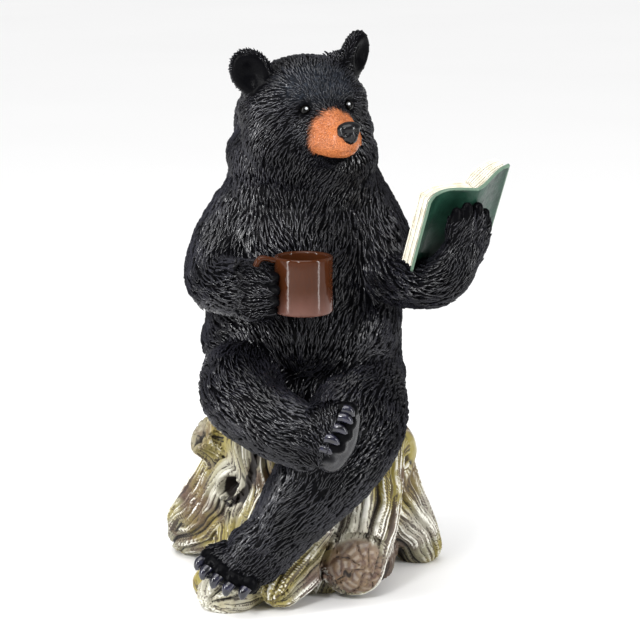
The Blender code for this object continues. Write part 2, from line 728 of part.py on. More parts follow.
def main():
    """Clears the scene, then builds the four pieces and fits them to one another."""
    for thing in list(bpy.data.objects):
        bpy.data.objects.remove(thing)

    mug = coffee_mug()
    book = open_book()

    skin = bear_skin()
    add_locks(skin, 5, 9, 3.2, 1.3)
    carve_face(skin)
    facets = decimated(skin, BEAR_TRIANGLES, detail_of(skin))
    bear = new_object("bear_figure", facets)
    add_cut(bear, mug_room())
    book_room = book_slab("book_room", -BOOK_COVER, leaf_level, BOOK_HALF_WIDTH, BOOK_LENGTH, CLEARANCE)
    add_cut(bear, hidden(book_room))

    stump = new_object("stump_base", decimated(stump_skin(), STUMP_TRIANGLES))
    add_cut(stump, grown("seat", facets, CLEARANCE * 2.2))
    add_cut(stump, cut_box((0.3, 0.3, 0.1), Vector((0, 0, -0.05))))
    add_cut(stump, cut_box((0.3, 0.3, 0.1), Vector((0, 0, 0.05 + 60 * SHARE))))

    painted(bear, "black_fur", (0.02, 0.02, 0.023), 0.42)
    painted(stump, "weathered_wood", (0.33, 0.29, 0.16), 0.6)
    painted(mug, "brown_glaze", (0.13, 0.05, 0.03), 0.15)
    painted(book, "green_cover", (0.05, 0.13, 0.09), 0.4)


main()
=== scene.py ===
"""Dresses the cast bear figurine: its fur, its stump, its mug, its book, and the studio round them.

The free forms are built up again from the same masses and limbs as the solids, in two-hundredths of
the figure's height, and carry the finer relief: strokes of fur, the wood's grain and the leaves.
"""

from __future__ import annotations

import logging
import math
from collections.abc import Callable, Iterable, Sequence
from dataclasses import dataclass, field
from enum import Enum

import bmesh
import bpy
import numpy as np
from mathutils import Matrix, Vector, noise

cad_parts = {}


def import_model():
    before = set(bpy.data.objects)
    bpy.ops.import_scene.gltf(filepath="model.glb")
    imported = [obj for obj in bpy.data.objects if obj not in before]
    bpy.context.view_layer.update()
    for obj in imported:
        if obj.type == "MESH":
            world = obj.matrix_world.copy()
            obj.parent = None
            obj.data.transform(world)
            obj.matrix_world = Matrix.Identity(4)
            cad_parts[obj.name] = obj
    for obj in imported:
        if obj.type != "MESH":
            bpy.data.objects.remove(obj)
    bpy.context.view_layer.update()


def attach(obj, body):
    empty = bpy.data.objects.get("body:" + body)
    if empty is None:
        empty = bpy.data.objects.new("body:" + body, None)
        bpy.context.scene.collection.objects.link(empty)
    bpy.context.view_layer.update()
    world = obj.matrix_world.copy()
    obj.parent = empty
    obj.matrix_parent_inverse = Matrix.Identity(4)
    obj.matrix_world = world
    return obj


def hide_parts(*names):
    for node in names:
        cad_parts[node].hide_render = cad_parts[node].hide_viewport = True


LOG = logging.getLogger("bear_figurine")

FIGURE_HEIGHT = 0.200
SHARE = FIGURE_HEIGHT / 200
BODY = "root"

# A station is a place on a limb and its radius there; the figure's are in two-hundredths of its height.
Place = tuple[float, float, float]
Station = tuple[float, float, float, float]
Colour = tuple[float, float, float]
Mesh = bpy.types.Mesh
Socket = bpy.types.NodeSocket
Strands = Sequence[Sequence[Station]]
Faces = list[tuple[int, ...]]

STILL = Matrix.Identity(4)
# Farther than any place on the figure.
FAR = 1e9


class Slot(Enum):
    """The record's material slots."""

    FUR = "black_fur"
    WOOD = "weathered_wood"
    GLAZE = "brown_glaze"
    COVER = "green_cover"


# Helpers for meshes.


def share(values: Iterable[float]) -> Vector:
    """The place or the radii that these shares of the height give, in metres."""
    return Vector(values) * SHARE


def srgb(red: int, green: int, blue: int) -> Colour:
    """A colour read off as 0 to 255, as the shader's linear values.

    Args:
        red: The red level.
        green: The green level.
        blue: The blue level.

    Returns:
        The three linear levels.
    """
    levels = (red / 255, green / 255, blue / 255)
    return tuple(v / 12.92 if v <= 10 / 255 else ((v + 0.055) / 1.055) ** 2.4 for v in levels)


def limb_points(stations: Sequence[Station], spacing: float = 0.3) -> list[Vector]:
    """Centres and radii close together on a smooth curve through a limb's stations.

    Args:
        stations: Centre x, y, z and radius of each station.
        spacing: The step, as a share of the radius.

    Returns:
        Four numbers for each point: its centre and its radius.
    """
    points = [Vector(station) for station in stations]
    ends = [2 * points[0] - points[1], *points, 2 * points[-1] - points[-2]]
    run = []
    for i in range(len(points) - 1):
        before, start, end, after = ends[i : i + 4]
        steps = max(2, math.ceil((end - start).xyz.length / (spacing * min(start.w, end.w))))
        for k in range(steps + 1):
            t = k / steps
            slope = (end - before) * t
            bend = (2 * before - 5 * start + 4 * end - after) * t**2
            twist = (3 * start - before - 3 * end + after) * t**3
            run.append(0.5 * (2 * start + slope + bend + twist))
    return run


def new_object(name: str, data: bpy.types.ID) -> bpy.types.Object:
    """A new object in the scene.

    Args:
        name: The object's name.
        data: Its mesh, its lamp or its lens.

    Returns:
        The object.
    """
    thing = bpy.data.objects.new(name, data)
    bpy.context.scene.collection.objects.link(thing)
    return thing


def settled(thing: bpy.types.Object) -> Mesh:
    """The mesh that an object's modifiers give; the object itself is cleared away.

    Args:
        thing: The object with its modifiers.

    Returns:
        The evaluated mesh.
    """
    graph = bpy.context.evaluated_depsgraph_get()
    made = bpy.data.meshes.new_from_object(thing.evaluated_get(graph))
    rough = thing.data
    bpy.data.objects.remove(thing)
    bpy.data.meshes.remove(rough)
    return made


def mesh_of(name: str, places: np.ndarray, faces: np.ndarray) -> Mesh:
    """A mesh from corner places and equal-sided faces.

    Args:
        name: The mesh's name.
        places: Rows of x, y, z.
        faces: Rows of corner numbers.

    Returns:
        The mesh.
    """
    mesh = bpy.data.meshes.new(name)
    mesh.vertices.add(len(places))
    mesh.vertices.foreach_set("co", np.ascontiguousarray(places, dtype=np.float32).ravel())
    mesh.loops.add(faces.size)
    mesh.loops.foreach_set("vertex_index", np.ascontiguousarray(faces, dtype=np.int32).ravel())
    mesh.polygons.add(len(faces))
    mesh.polygons.foreach_set("loop_start", np.arange(0, faces.size, faces.shape[1], dtype=np.int32))
    mesh.update(calc_edges=True)
    mesh.validate()
    return mesh


def places_of(mesh: Mesh) -> np.ndarray:
    """Where a skin's corners are, as rows of x, y, z.

    Args:
        mesh: The skin.

    Returns:
        One row for each corner.
    """
    places = np.empty(len(mesh.vertices) * 3)
    mesh.vertices.foreach_get("co", places)
    return places.reshape(-1, 3)


def normals_of(mesh: Mesh) -> np.ndarray:
    """Which way is out at each of a skin's corners.

    Args:
        mesh: The skin.

    Returns:
        Rows of x, y, z, each of length 1.
    """
    normals = np.empty(len(mesh.vertices) * 3)
    mesh.vertex_normals.foreach_get("vector", normals)
    return normals.reshape(-1, 3)


def move_to(mesh: Mesh, places: np.ndarray) -> None:
    """Moves a skin's corners to new places."""
    mesh.vertices.foreach_set("co", places.ravel())
    mesh.update()


def inside_of(frame: Matrix, places: np.ndarray) -> np.ndarray:
    """Places given in a frame's own axes.

    Args:
        frame: The frame.
        places: Rows of x, y, z in the figure's axes.

    Returns:
        Rows of x, y, z in the frame's axes.
    """
    back = np.array(frame.inverted())
    return places @ back[:3, :3].T + back[:3, 3]


def soft_step(values: np.ndarray, low: float, high: float) -> np.ndarray:
    """A smooth rise from 0 at low to 1 at high."""
    t = np.clip((values - low) / (high - low), 0, 1)
    return t * t * (3 - 2 * t)


def noise_at(places: np.ndarray, scale: float, seed: float = 0.0) -> np.ndarray:
    """Smooth noise at each place, between about -1 and 1."""
    shift = Vector((seed, 1.7 * seed, -2.3 * seed))
    return np.array([noise.noise(Vector(place) * scale + shift) for place in places])


def paint_level(mesh: Mesh, name: str, levels: np.ndarray) -> None:
    """Keeps one number for each corner of a mesh, for its material to read."""
    mesh.attributes.new(name, "FLOAT", "POINT").data.foreach_set("value", levels.astype(np.float32))


def repaint(mesh: Mesh, name: str, share_of_new: np.ndarray, levels: np.ndarray) -> None:
    """Blends new numbers over those that a mesh keeps already.

    Args:
        mesh: The mesh.
        name: The name that the numbers are kept under.
        share_of_new: How much of the new number counts at each corner.
        levels: The new numbers.
    """
    data = mesh.attributes[name].data
    kept = np.empty(len(levels), dtype=np.float32)
    data.foreach_get("value", kept)
    data.foreach_set("value", (kept * (1 - share_of_new) + levels * share_of_new).astype(np.float32))


def reach_to(places: np.ndarray, points: Iterable[Sequence[float]]) -> np.ndarray:
    """How far each place is from the nearest of some points.

    Args:
        places: Rows of x, y, z.
        points: The points, in the same axes.

    Returns:
        One distance for each place.
    """
    nearest = np.full(len(places), FAR)
    for point in points:
        nearest = np.minimum(nearest, np.linalg.norm(places - np.array(point), axis=1))
    return nearest


@dataclass
class BlockOut:
    """Rounded masses laid over one another, to be closed under one skin."""

    spheres: list[np.ndarray] = field(default_factory=list)
    skins: list[Mesh] = field(default_factory=list)

    def mass(self, centre: Place, radii: Place, frame: Matrix = STILL, turn: Matrix = STILL) -> None:
        """Adds one ellipsoid.

        Args:
            centre: Its centre in the frame's axes.
            radii: Its radii along the turned axes.
            frame: The axes it is placed in.
            turn: A turn about its own centre.
        """
        place = frame @ Matrix.Translation(share(centre)) @ turn @ Matrix.Diagonal((*share(radii), 1))
        self.spheres.append(np.array(place))

    def limb(self, stations: Sequence[Station], frame: Matrix = STILL) -> None:
        """Adds a limb, as balls along its curve."""
        for p in limb_points(stations):
            self.mass(tuple(p.xyz), (p.w, p.w, p.w), frame)

    def skin(self, voxel: float, smoothing: int) -> Mesh:
        """Closes one skin around everything laid so far.

        Args:
            voxel: The skin's cell, in shares of the height.
            smoothing: How many times its creases are softened.

        Returns:
            The skin.
        """
        ball_places, ball_faces = unit_ball()
        places = [ball_places @ ball[:3, :3].T + ball[:3, 3] for ball in self.spheres]
        faces = [ball_faces + i * len(ball_places) for i in range(len(self.spheres))]
        base = len(ball_places) * len(self.spheres)
        for skin in self.skins:
            skin.calc_loop_triangles()
            sides = np.empty(len(skin.loop_triangles) * 3, dtype=np.int32)
            skin.loop_triangles.foreach_get("vertices", sides)
            places.append(places_of(skin))
            faces.append(sides.reshape(-1, 3) + base)
            base += len(places[-1])
            bpy.data.meshes.remove(skin)
        thing = new_object("block_out", mesh_of("block_out", np.concatenate(places), np.concatenate(faces)))
        remesh = thing.modifiers.new("skin", "REMESH")
        remesh.mode = "VOXEL"
        remesh.voxel_size = voxel * SHARE
        smooth = thing.modifiers.new("soften", "SMOOTH")
        smooth.factor = 0.5
        smooth.iterations = smoothing
        return settled(thing)


def unit_ball(rings: int = 14, sides: int = 20) -> tuple[np.ndarray, np.ndarray]:
    """A closed ball of radius 1 in triangles.

    Args:
        rings: Bands from pole to pole.
        sides: Sides of each band.

    Returns:
        Its corners and its faces.
    """
    places = [(0.0, 0.0, 1.0)]
    for r in range(1, rings):
        tilt = math.pi * r / rings
        for s in range(sides):
            turn = math.tau * s / sides
            places.append((math.sin(tilt) * math.cos(turn), math.sin(tilt) * math.sin(turn), math.cos(tilt)))
    places.append((0.0, 0.0, -1.0))
    faces = []
    for s in range(sides):
        after = (s + 1) % sides
        faces.append((0, 1 + s, 1 + after))
        last = 1 + (rings - 2) * sides
        faces.append((len(places) - 1, last + after, last + s))
        for r in range(rings - 2):
            a, b = 1 + r * sides + s, 1 + r * sides + after
            faces.append((a, a + sides, b))
            faces.append((b, a + sides, b + sides))
    return np.array(places), np.array(faces)


@dataclass
class Carver:
    """Hand tools for a skin, in a frame of the builder's choice."""

    mesh: Mesh
    frame: Matrix = STILL

    def press(self, centre: Place, radii: Place, push: Place) -> None:
        """Presses a soft hollow into the skin, or raises it.

        Args:
            centre: Middle of the touched region.
            radii: Its reach along the frame's axes.
            push: The shift at its middle, in the frame's axes.
        """
        places = places_of(self.mesh)
        ball = self.frame @ Matrix.Translation(share(centre)) @ Matrix.Diagonal((*share(radii), 1))
        reach = np.minimum(1, (inside_of(ball, places) ** 2).sum(axis=1))
        shift = np.array(self.frame.to_3x3() @ share(push))
        move_to(self.mesh, places + shift * ((1 - reach) ** 2)[:, None])

    def groove(self, path: Sequence[Place], width: float, depth: float) -> None:
        """Cuts a groove along a path; a negative depth raises a ridge.

        Args:
            path: Places along the groove.
            width: Reach to each side.
            depth: Depth at its middle.
        """
        places, normals = places_of(self.mesh), normals_of(self.mesh)
        reach = np.full(len(places), 1.0)
        for point in limb_points([(*place, width) for place in path], 0.4):
            away = places - np.array(self.frame @ share(point.xyz))
            reach = np.minimum(reach, np.sqrt((away**2).sum(axis=1)) / (width * SHARE))
        move_to(self.mesh, places - normals * (depth * SHARE * (1 - reach**2) ** 2)[:, None])


def decimated(mesh: Mesh, triangles: int) -> Mesh:
    """The skin with about this many triangles.

    Args:
        mesh: The skin.
        triangles: How many to leave.

    Returns:
        The lighter skin.
    """
    mesh.calc_loop_triangles()
    ratio = triangles / len(mesh.loop_triangles)
    if ratio >= 1:
        return mesh
    thing = new_object("facets", mesh)
    fewer = thing.modifiers.new("facets", "DECIMATE")
    fewer.ratio = ratio
    return settled(thing)


def swept(rings: Sequence[np.ndarray]) -> tuple[np.ndarray, Faces]:
    """A tube through rings of corners, capped at both ends.

    Args:
        rings: Corner places of each ring, all with the same count.

    Returns:
        The corners and the faces.
    """
    sides = len(rings[0])
    faces: Faces = []
    for r in range(len(rings) - 1):
        for s in range(sides):
            a, b = r * sides + s, r * sides + (s + 1) % sides
            faces.append((a, b, b + sides, a + sides))
    faces.append(tuple(range(sides))[::-1])
    faces.append(tuple((len(rings) - 1) * sides + s for s in range(sides)))
    return np.concatenate(rings), faces


def mesh_from(name: str, parts: Sequence[tuple[np.ndarray, Faces]]) -> Mesh:
    """One mesh from several sets of corners and faces, with its faces turned outwards.

    Args:
        name: The mesh's name.
        parts: The sets.

    Returns:
        The mesh.
    """
    corners: list[tuple[float, ...]] = []
    faces: Faces = []
    for places, sides in parts:
        faces += [tuple(i + len(corners) for i in face) for face in sides]
        corners += [tuple(place) for place in places]
    mesh = bpy.data.meshes.new(name)
    mesh.from_pydata(corners, [], faces)
    shell = bmesh.new()
    shell.from_mesh(mesh)
    bmesh.ops.recalc_face_normals(shell, faces=shell.faces)
    shell.to_mesh(mesh)
    shell.free()
    mesh.update()
    return mesh


def smooth_shaded(mesh: Mesh, sharp_degrees: float | None = None) -> None:
    """Shades a mesh smooth, with an edge kept sharp past an angle.

    Args:
        mesh: The mesh.
        sharp_degrees: The angle; no edge is sharp if it is left out.
    """
    mesh.shade_smooth()
    if sharp_degrees is not None:
        mesh.set_sharp_from_angle(angle=math.radians(sharp_degrees))


def place_piece(name: str, mesh: Mesh, finish: bpy.types.Material, slot: Slot, *nodes: str) -> None:
    """Puts a finished piece on the figure and hides the solids it stands for.

    Args:
        name: The piece's name.
        mesh: Its mesh.
        finish: Its material.
        slot: Its material slot; not used.
        nodes: The CAD nodes it replaces.
    """
    mesh.materials.clear()
    mesh.materials.append(finish)
    thing = new_object(name, mesh)
    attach(thing, BODY)
    if nodes:
        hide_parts(*nodes)
    mesh.calc_loop_triangles()
    LOG.info("%s: %d triangles", name, len(mesh.loop_triangles))


# The finishes.


class Tree:
    """A short hand for wiring a node tree."""

    def __init__(self, name: str) -> None:
        """Starts a material with its shader and no other nodes.

        Args:
            name: The material's name.
        """
        self.material = bpy.data.materials.new(name)
        self.material.use_nodes = True
        self.nodes = self.material.node_tree.nodes
        self.links = self.material.node_tree.links
        self.shader = self.nodes["Principled BSDF"]
        self.coords = self.nodes.new("ShaderNodeTexCoord").outputs["Object"]

    def put(self, socket: Socket, value: object) -> None:
        """Feeds a socket with another socket's output or with a plain value.

        Args:
            socket: The socket.
            value: What it gets.
        """
        if isinstance(value, Socket):
            self.links.new(value, socket)
        elif isinstance(value, tuple) and len(value) == 3 and socket.type == "RGBA":
            socket.default_value = (*value, 1)
        else:
            socket.default_value = value

    def level(self, name: str) -> Socket:
        """The number that a mesh keeps at each corner under this name.

        Args:
            name: The name that the numbers are kept under.

        Returns:
            The level.
        """
        node = self.nodes.new("ShaderNodeAttribute")
        node.attribute_name = name
        return node.outputs["Fac"]

    def noise(self, scale: float, detail: float = 2, roughness: float = 0.5) -> Socket:
        """Soft noise over the piece.

        Args:
            scale: Waves per metre.
            detail: Octaves.
            roughness: How strong the finer octaves are.

        Returns:
            The noise's level.
        """
        node = self.nodes.new("ShaderNodeTexNoise")
        node.inputs["Scale"].default_value = scale
        node.inputs["Detail"].default_value = detail
        node.inputs["Roughness"].default_value = roughness
        self.put(node.inputs["Vector"], self.coords)
        return node.outputs["Fac"]

    def maths(self, kind: str, a: object, b: object = 0.5) -> Socket:
        """One sum on two levels.

        Args:
            kind: The operation, as the node names it.
            a: The first level.
            b: The second level.

        Returns:
            The result.
        """
        node = self.nodes.new("ShaderNodeMath")
        node.operation = kind
        self.put(node.inputs[0], a)
        self.put(node.inputs[1], b)
        return node.outputs[0]

    def times(self, a: object, b: object) -> Socket:
        """The product of two levels."""
        return self.maths("MULTIPLY", a, b)

    def plus(self, a: object, b: object) -> Socket:
        """The sum of two levels."""
        return self.maths("ADD", a, b)

    def waver(self, scale: float, detail: float, reach: float) -> Socket:
        """Soft noise about zero, for edges that a hand has painted."""
        return self.times(self.maths("SUBTRACT", self.noise(scale, detail), 0.5), reach)

    def ramp(self, level: Socket, low: float, high: float, start: float = 0, end: float = 1) -> Socket:
        """A smooth rise from one level to another.

        Args:
            level: The level read.
            low: Where the rise begins.
            high: Where it ends.
            start: The result at the low end.
            end: The result at the high end.

        Returns:
            The new level.
        """
        node = self.nodes.new("ShaderNodeMapRange")
        node.interpolation_type = "SMOOTHSTEP"
        self.put(node.inputs["Value"], level)
        for key, value in (("From Min", low), ("From Max", high), ("To Min", start), ("To Max", end)):
            node.inputs[key].default_value = value
        return node.outputs["Result"]

    def mix(self, level: object, a: object, b: object) -> Socket:
        """A blend of two colours.

        Args:
            level: How much of the second colour shows.
            a: The first colour.
            b: The second colour.

        Returns:
            The blended colour.
        """
        node = self.nodes.new("ShaderNodeMix")
        node.data_type = "RGBA"
        self.put(node.inputs[0], level)
        self.put(node.inputs[6], a)
        self.put(node.inputs[7], b)
        return node.outputs[2]

    def bump(self, height: Socket, strength: float, depth: float) -> Socket:
        """A bumped surface direction.

        Args:
            height: The height's level.
            strength: How much of it shows.
            depth: The height's real depth in metres.

        Returns:
            The surface direction.
        """
        node = self.nodes.new("ShaderNodeBump")
        node.inputs["Strength"].default_value = strength
        node.inputs["Distance"].default_value = depth
        self.put(node.inputs["Height"], height)
        return node.outputs[0]

    def finish(
        self, colour: object, roughness: object, normal: object = None, **plain: float
    ) -> bpy.types.Material:
        """Sets the shader.

        Args:
            colour: Base colour.
            roughness: Roughness.
            normal: A bumped surface direction.
            plain: Other sockets by name, with underscores for spaces.

        Returns:
            The material.
        """
        self.put(self.shader.inputs["Base Color"], colour)
        self.put(self.shader.inputs["Roughness"], roughness)
        if normal is not None:
            self.put(self.shader.inputs["Normal"], normal)
        for key, value in plain.items():
            self.shader.inputs[key.replace("_", " ")].default_value = value
        return self.material


@dataclass(frozen=True)
class FurFinish:
    """Black painted fur with dry-brushed tips that are partly a painted highlight, an orange muzzle and a
    bluish brow.
    """

    black: Colour = srgb(7, 7, 9)
    # The tips on the locks' ridges: dry-brushed paint, and partly a painted highlight of their glints.
    tips: Colour = srgb(44, 44, 52)
    brow: Colour = srgb(60, 66, 76)
    muzzle: Colour = srgb(206, 128, 78)
    muzzle_dark: Colour = srgb(136, 74, 42)
    lips: Colour = srgb(30, 16, 11)
    pad: Colour = srgb(34, 34, 37)
    roughness: float = 0.23
    plain_gloss: float = 0.25

    def material(self) -> bpy.types.Material:
        """The finish for the skin and the locks of fur.

        Returns:
            The material.
        """
        tree = Tree("black_fur")
        crest = tree.level("lock_crest")
        patch = tree.noise(90, 3)
        # Lighter on the locks' ridges: dry-brush, and partly a painted highlight.
        brushed = tree.times(tree.ramp(crest, 0.5, 1.0), tree.ramp(patch, 0.3, 0.7, 0.25, 0.9))
        fur = tree.mix(brushed, self.black, self.tips)
        dusting = tree.ramp(tree.noise(900, 4, roughness=0.7), 0.45, 0.75)
        brow = tree.times(tree.level("brow"), tree.plus(tree.times(dusting, 0.6), 0.12))
        fur = tree.mix(brow, fur, self.brow)
        speckle = tree.ramp(tree.noise(2600, 3, roughness=0.7), 0.35, 0.7)
        orange = tree.mix(speckle, self.muzzle_dark, self.muzzle)
        edge = tree.plus(tree.level("muzzle"), tree.waver(700, 3, 0.3))
        painted = tree.ramp(edge, 0.1, 0.85)
        colour = tree.mix(painted, fur, orange)
        colour = tree.mix(tree.times(tree.level("mouth"), 0.92), colour, self.lips)
        fine = tree.bump(tree.noise(2400, 3), 0.5, 0.00012)
        rough = tree.ramp(tree.noise(400, 2), 0.3, 0.7, self.roughness - 0.06, self.roughness + 0.1)
        shine = tree.maths("MAXIMUM", tree.ramp(crest, 0.5, 1.0, 0.03, 0.62), tree.times(painted, 0.25))
        bare = tree.level("pad")
        colour = tree.mix(bare, colour, self.pad)
        shine = tree.maths("MAXIMUM", shine, tree.times(bare, 0.4))
        # The plain level stays under the link, for where the link is not followed.
        tree.shader.inputs["Specular IOR Level"].default_value = self.plain_gloss
        tree.put(tree.shader.inputs["Specular IOR Level"], shine)
        return tree.finish(colour, rough, fine)


@dataclass(frozen=True)
class GlossFinish:
    """Glossy black paint of the nose, the eyes and the claws."""

    name: str
    colour: Colour
    sheen: Colour
    roughness: float
    grain: float = 0.00006
    coat: float = 0.3
    gloss: float = 0.5
    # The dot's colour: a painted catchlight, a painted highlight on the eye.
    dot: Colour = srgb(214, 218, 222)

    def material(self) -> bpy.types.Material:
        """The finish, a little uneven as brushed paint is.

        Returns:
            The material.
        """
        tree = Tree(self.name)
        colour = tree.mix(tree.ramp(tree.noise(500, 2), 0.3, 0.7), self.colour, self.sheen)
        # A painted catchlight where the mesh marks the dot.
        colour = tree.mix(tree.level("dot"), colour, self.dot)
        rough = tree.ramp(tree.noise(900, 2), 0.3, 0.7, self.roughness - 0.03, self.roughness + 0.05)
        brushed = tree.bump(tree.noise(1300, 2), 0.4, self.grain)
        return tree.finish(colour, rough, brushed, Coat_Weight=self.coat, Specular_IOR_Level=self.gloss)


@dataclass(frozen=True)
class WoodFinish:
    """Weathered wood: olive, grey and purple-brown washes with dark cracks."""

    olive: Colour = srgb(146, 134, 72)
    grey: Colour = srgb(142, 138, 116)
    white: Colour = srgb(236, 234, 224)
    bleached: Colour = srgb(190, 187, 172)
    brown: Colour = srgb(86, 63, 55)
    beige: Colour = srgb(120, 98, 76)
    dark: Colour = srgb(28, 22, 19)

    def material(self) -> bpy.types.Material:
        """The finish, led by the grain that the mesh carries.

        Returns:
            The material.
        """
        tree = Tree("weathered_wood")
        wash = tree.ramp(tree.noise(38, 3), 0.42, 0.58)
        base = tree.mix(wash, self.olive, self.grey)
        stain = tree.ramp(tree.noise(46, 3, roughness=0.6), 0.5, 0.64)
        base = tree.mix(tree.times(stain, 0.85), base, self.brown)
        height, rib, streak = tree.level("crest"), tree.level("rib"), tree.level("streak")
        patchy = tree.ramp(tree.noise(160, 3, roughness=0.6), 0.3, 0.6, 0.55, 1)
        for name, wash in (("olive", self.olive), ("brown", self.brown), ("white", self.bleached)):
            base = tree.mix(tree.times(tree.level("wash_" + name), patchy), base, wash)
        end = tree.mix(tree.ramp(tree.noise(420, 3, roughness=0.65), 0.4, 0.65), self.beige, self.brown)
        base = tree.mix(tree.times(tree.level("cut"), 0.9), base, end)
        # Browner down in the fine grooves of the grain.
        browner_in_fine_grooves = tree.times(tree.ramp(streak, 0.5, 0.1), 0.6)
        base = tree.mix(browner_in_fine_grooves, base, self.brown)
        raised = tree.times(tree.ramp(height, 0.6, 1.0), tree.ramp(rib, 0.45, 0.95))
        pale = tree.times(raised, tree.ramp(streak, 0.42, 0.75))
        pale = tree.times(pale, tree.ramp(tree.noise(110, 3, roughness=0.6), 0.36, 0.52))
        base = tree.mix(tree.times(pale, 0.95), base, self.white)
        base = tree.mix(tree.times(tree.ramp(streak, 0.36, 0.15), 0.6), base, self.dark)
        base = tree.mix(tree.times(tree.ramp(rib, 0.34, 0.05), 0.85), base, self.dark)
        base = tree.mix(tree.ramp(height, 0.38, 0.1), base, self.dark)
        fine = tree.bump(tree.noise(1500, 4), 0.5, 0.0002)
        return tree.finish(base, tree.ramp(height, 0.1, 0.8, 0.5, 0.4), fine, Specular_IOR_Level=0.35)


@dataclass(frozen=True)
class GlazeFinish:
    """The mug's glossy brown paint, paler and more purple near its foot, a painted reflection of the pale
    floor.
    """

    brown: Colour = srgb(60, 30, 14)
    # Paler and more purple near the foot: a painted reflection of the pale floor.
    foot: Colour = srgb(92, 62, 54)
    pool: Colour = srgb(52, 30, 22)
    low: float = 0.1085
    high: float = 0.119

    def material(self) -> bpy.types.Material:
        """The finish, with the uneven pull of a brush.

        Returns:
            The material.
        """
        tree = Tree("brown_glaze")
        split = tree.nodes.new("ShaderNodeSeparateXYZ")
        tree.put(split.inputs[0], tree.coords)
        # Paler and more purple towards the foot: a painted reflection of the floor.
        rise = tree.plus(split.outputs["Z"], tree.times(tree.noise(220, 2), 0.004))
        colour = tree.mix(tree.ramp(rise, self.low, self.high), self.foot, self.brown)
        colour = tree.mix(tree.ramp(tree.noise(300, 3), 0.5, 0.8, 0, 0.4), colour, self.pool)
        rough = tree.ramp(tree.noise(500, 2), 0.3, 0.7, 0.06, 0.12)
        pull = tree.bump(tree.noise(260, 2), 0.3, 0.00025)
        return tree.finish(colour, rough, pull, Specular_IOR_Level=0.22)


@dataclass(frozen=True)
class CoverFinish:
    """Dark green painted cover, paler grey-green along its edges as a painted highlight."""

    green: Colour = srgb(15, 42, 32)
    green_light: Colour = srgb(34, 66, 53)
    # The edges' painted highlight.
    pale: Colour = srgb(96, 118, 102)

    def material(self) -> bpy.types.Material:
        """The finish, brushed unevenly and with a painted highlight where the mesh says it is an edge.

        Returns:
            The material.
        """
        tree = Tree("green_cover")
        colour = tree.mix(tree.ramp(tree.noise(120, 4), 0.35, 0.75), self.green, self.green_light)
        # Paler along the edges: a painted highlight.
        edge_highlight = tree.plus(tree.level("edge"), tree.waver(600, 4, 0.7))
        colour = tree.mix(tree.ramp(edge_highlight, 0.55, 0.95), colour, self.pale)
        rough = tree.ramp(tree.noise(300, 3), 0.3, 0.7, 0.28, 0.42)
        brushed = tree.bump(tree.noise(700, 4), 0.5, 0.00025)
        return tree.finish(colour, rough, brushed, Specular_IOR_Level=0.22)


@dataclass(frozen=True)
class LeafFinish:
    """Cream painted leaves, a little yellowed in patches."""

    cream: Colour = srgb(232, 228, 214)
    yellowed: Colour = srgb(206, 198, 176)

    def material(self) -> bpy.types.Material:
        """The finish, brushed unevenly.

        Returns:
            The material.
        """
        tree = Tree("cream_leaves")
        colour = tree.mix(tree.ramp(tree.noise(260, 3), 0.35, 0.8), self.cream, self.yellowed)
        return tree.finish(colour, 0.5, tree.bump(tree.noise(900, 3), 0.4, 0.0001))


# The bear.


@dataclass
class Head:
    """The head: its place and turn, and the axes that the face is modelled in."""

    centre: Place = (-0.5, -8, 171)
    yaw: float = 25
    pitch: float = -4
    roll: float = 4.5
    muzzle: Sequence[Station] = (
        (0, -12, -5, 12.5),
        (0, -20, -6.5, 9.4),
        (0, -27, -8, 7.5),
        (0, -31.6, -8.6, 6.0),
    )
    jaw: Sequence[Station] = ((0, -12, -10, 10), (0, -21, -11.8, 5.6), (0, -27.5, -12.6, 3.9))
    eyes: tuple[Place, Place] = ((-7.0, -18.5, 2.2), (9.3, -18.2, 1.7))
    eye_radius: float = 1.9
    # Which way each eye's painted catchlight faces, in the head's axes.
    eye_catchlight: Place = (-0.15, -1.03, 0.36)
    right_ear: Place = (-18.7, -2.5, 16.2)
    left_ear: Place = (21.4, -2.5, 17.8)
    ear_turns: tuple[float, float] = (-32, 36)
    ear_lean: float = 24

    def frame(self) -> Matrix:
        """The head's own axes, x to its left, -y forwards and z up, set in the figure.

        Returns:
            The frame.
        """
        turn = (
            Matrix.Rotation(math.radians(self.yaw), 4, "Z")
            @ Matrix.Rotation(math.radians(self.pitch), 4, "X")
            @ Matrix.Rotation(math.radians(-self.roll), 4, "Y")
        )
        return Matrix.Translation(share(self.centre)) @ turn

    def mouth(self, side: int) -> tuple[Place, ...]:
        """One half of the mouth's line, in the head's axes."""
        return (0, -36.4, -12.4), (side * 3.4, -34.4, -13.6), (side * 6, -29.5, -13.9), (side * 8, -24, -12.4)

    def ears(self) -> list[Matrix]:
        """The two ears' own axes, their hollows facing forwards and outwards.

        Returns:
            The right ear's frame and the left ear's.
        """
        frames = []
        for place, side, outward in zip((self.right_ear, self.left_ear), (-1, 1), self.ear_turns):
            lean = Matrix.Rotation(math.radians(side * self.ear_lean), 4, "Y")
            turn = Matrix.Rotation(math.radians(outward), 4, "Z")
            frames.append(self.frame() @ Matrix.Translation(share(place)) @ lean @ turn)
        return frames


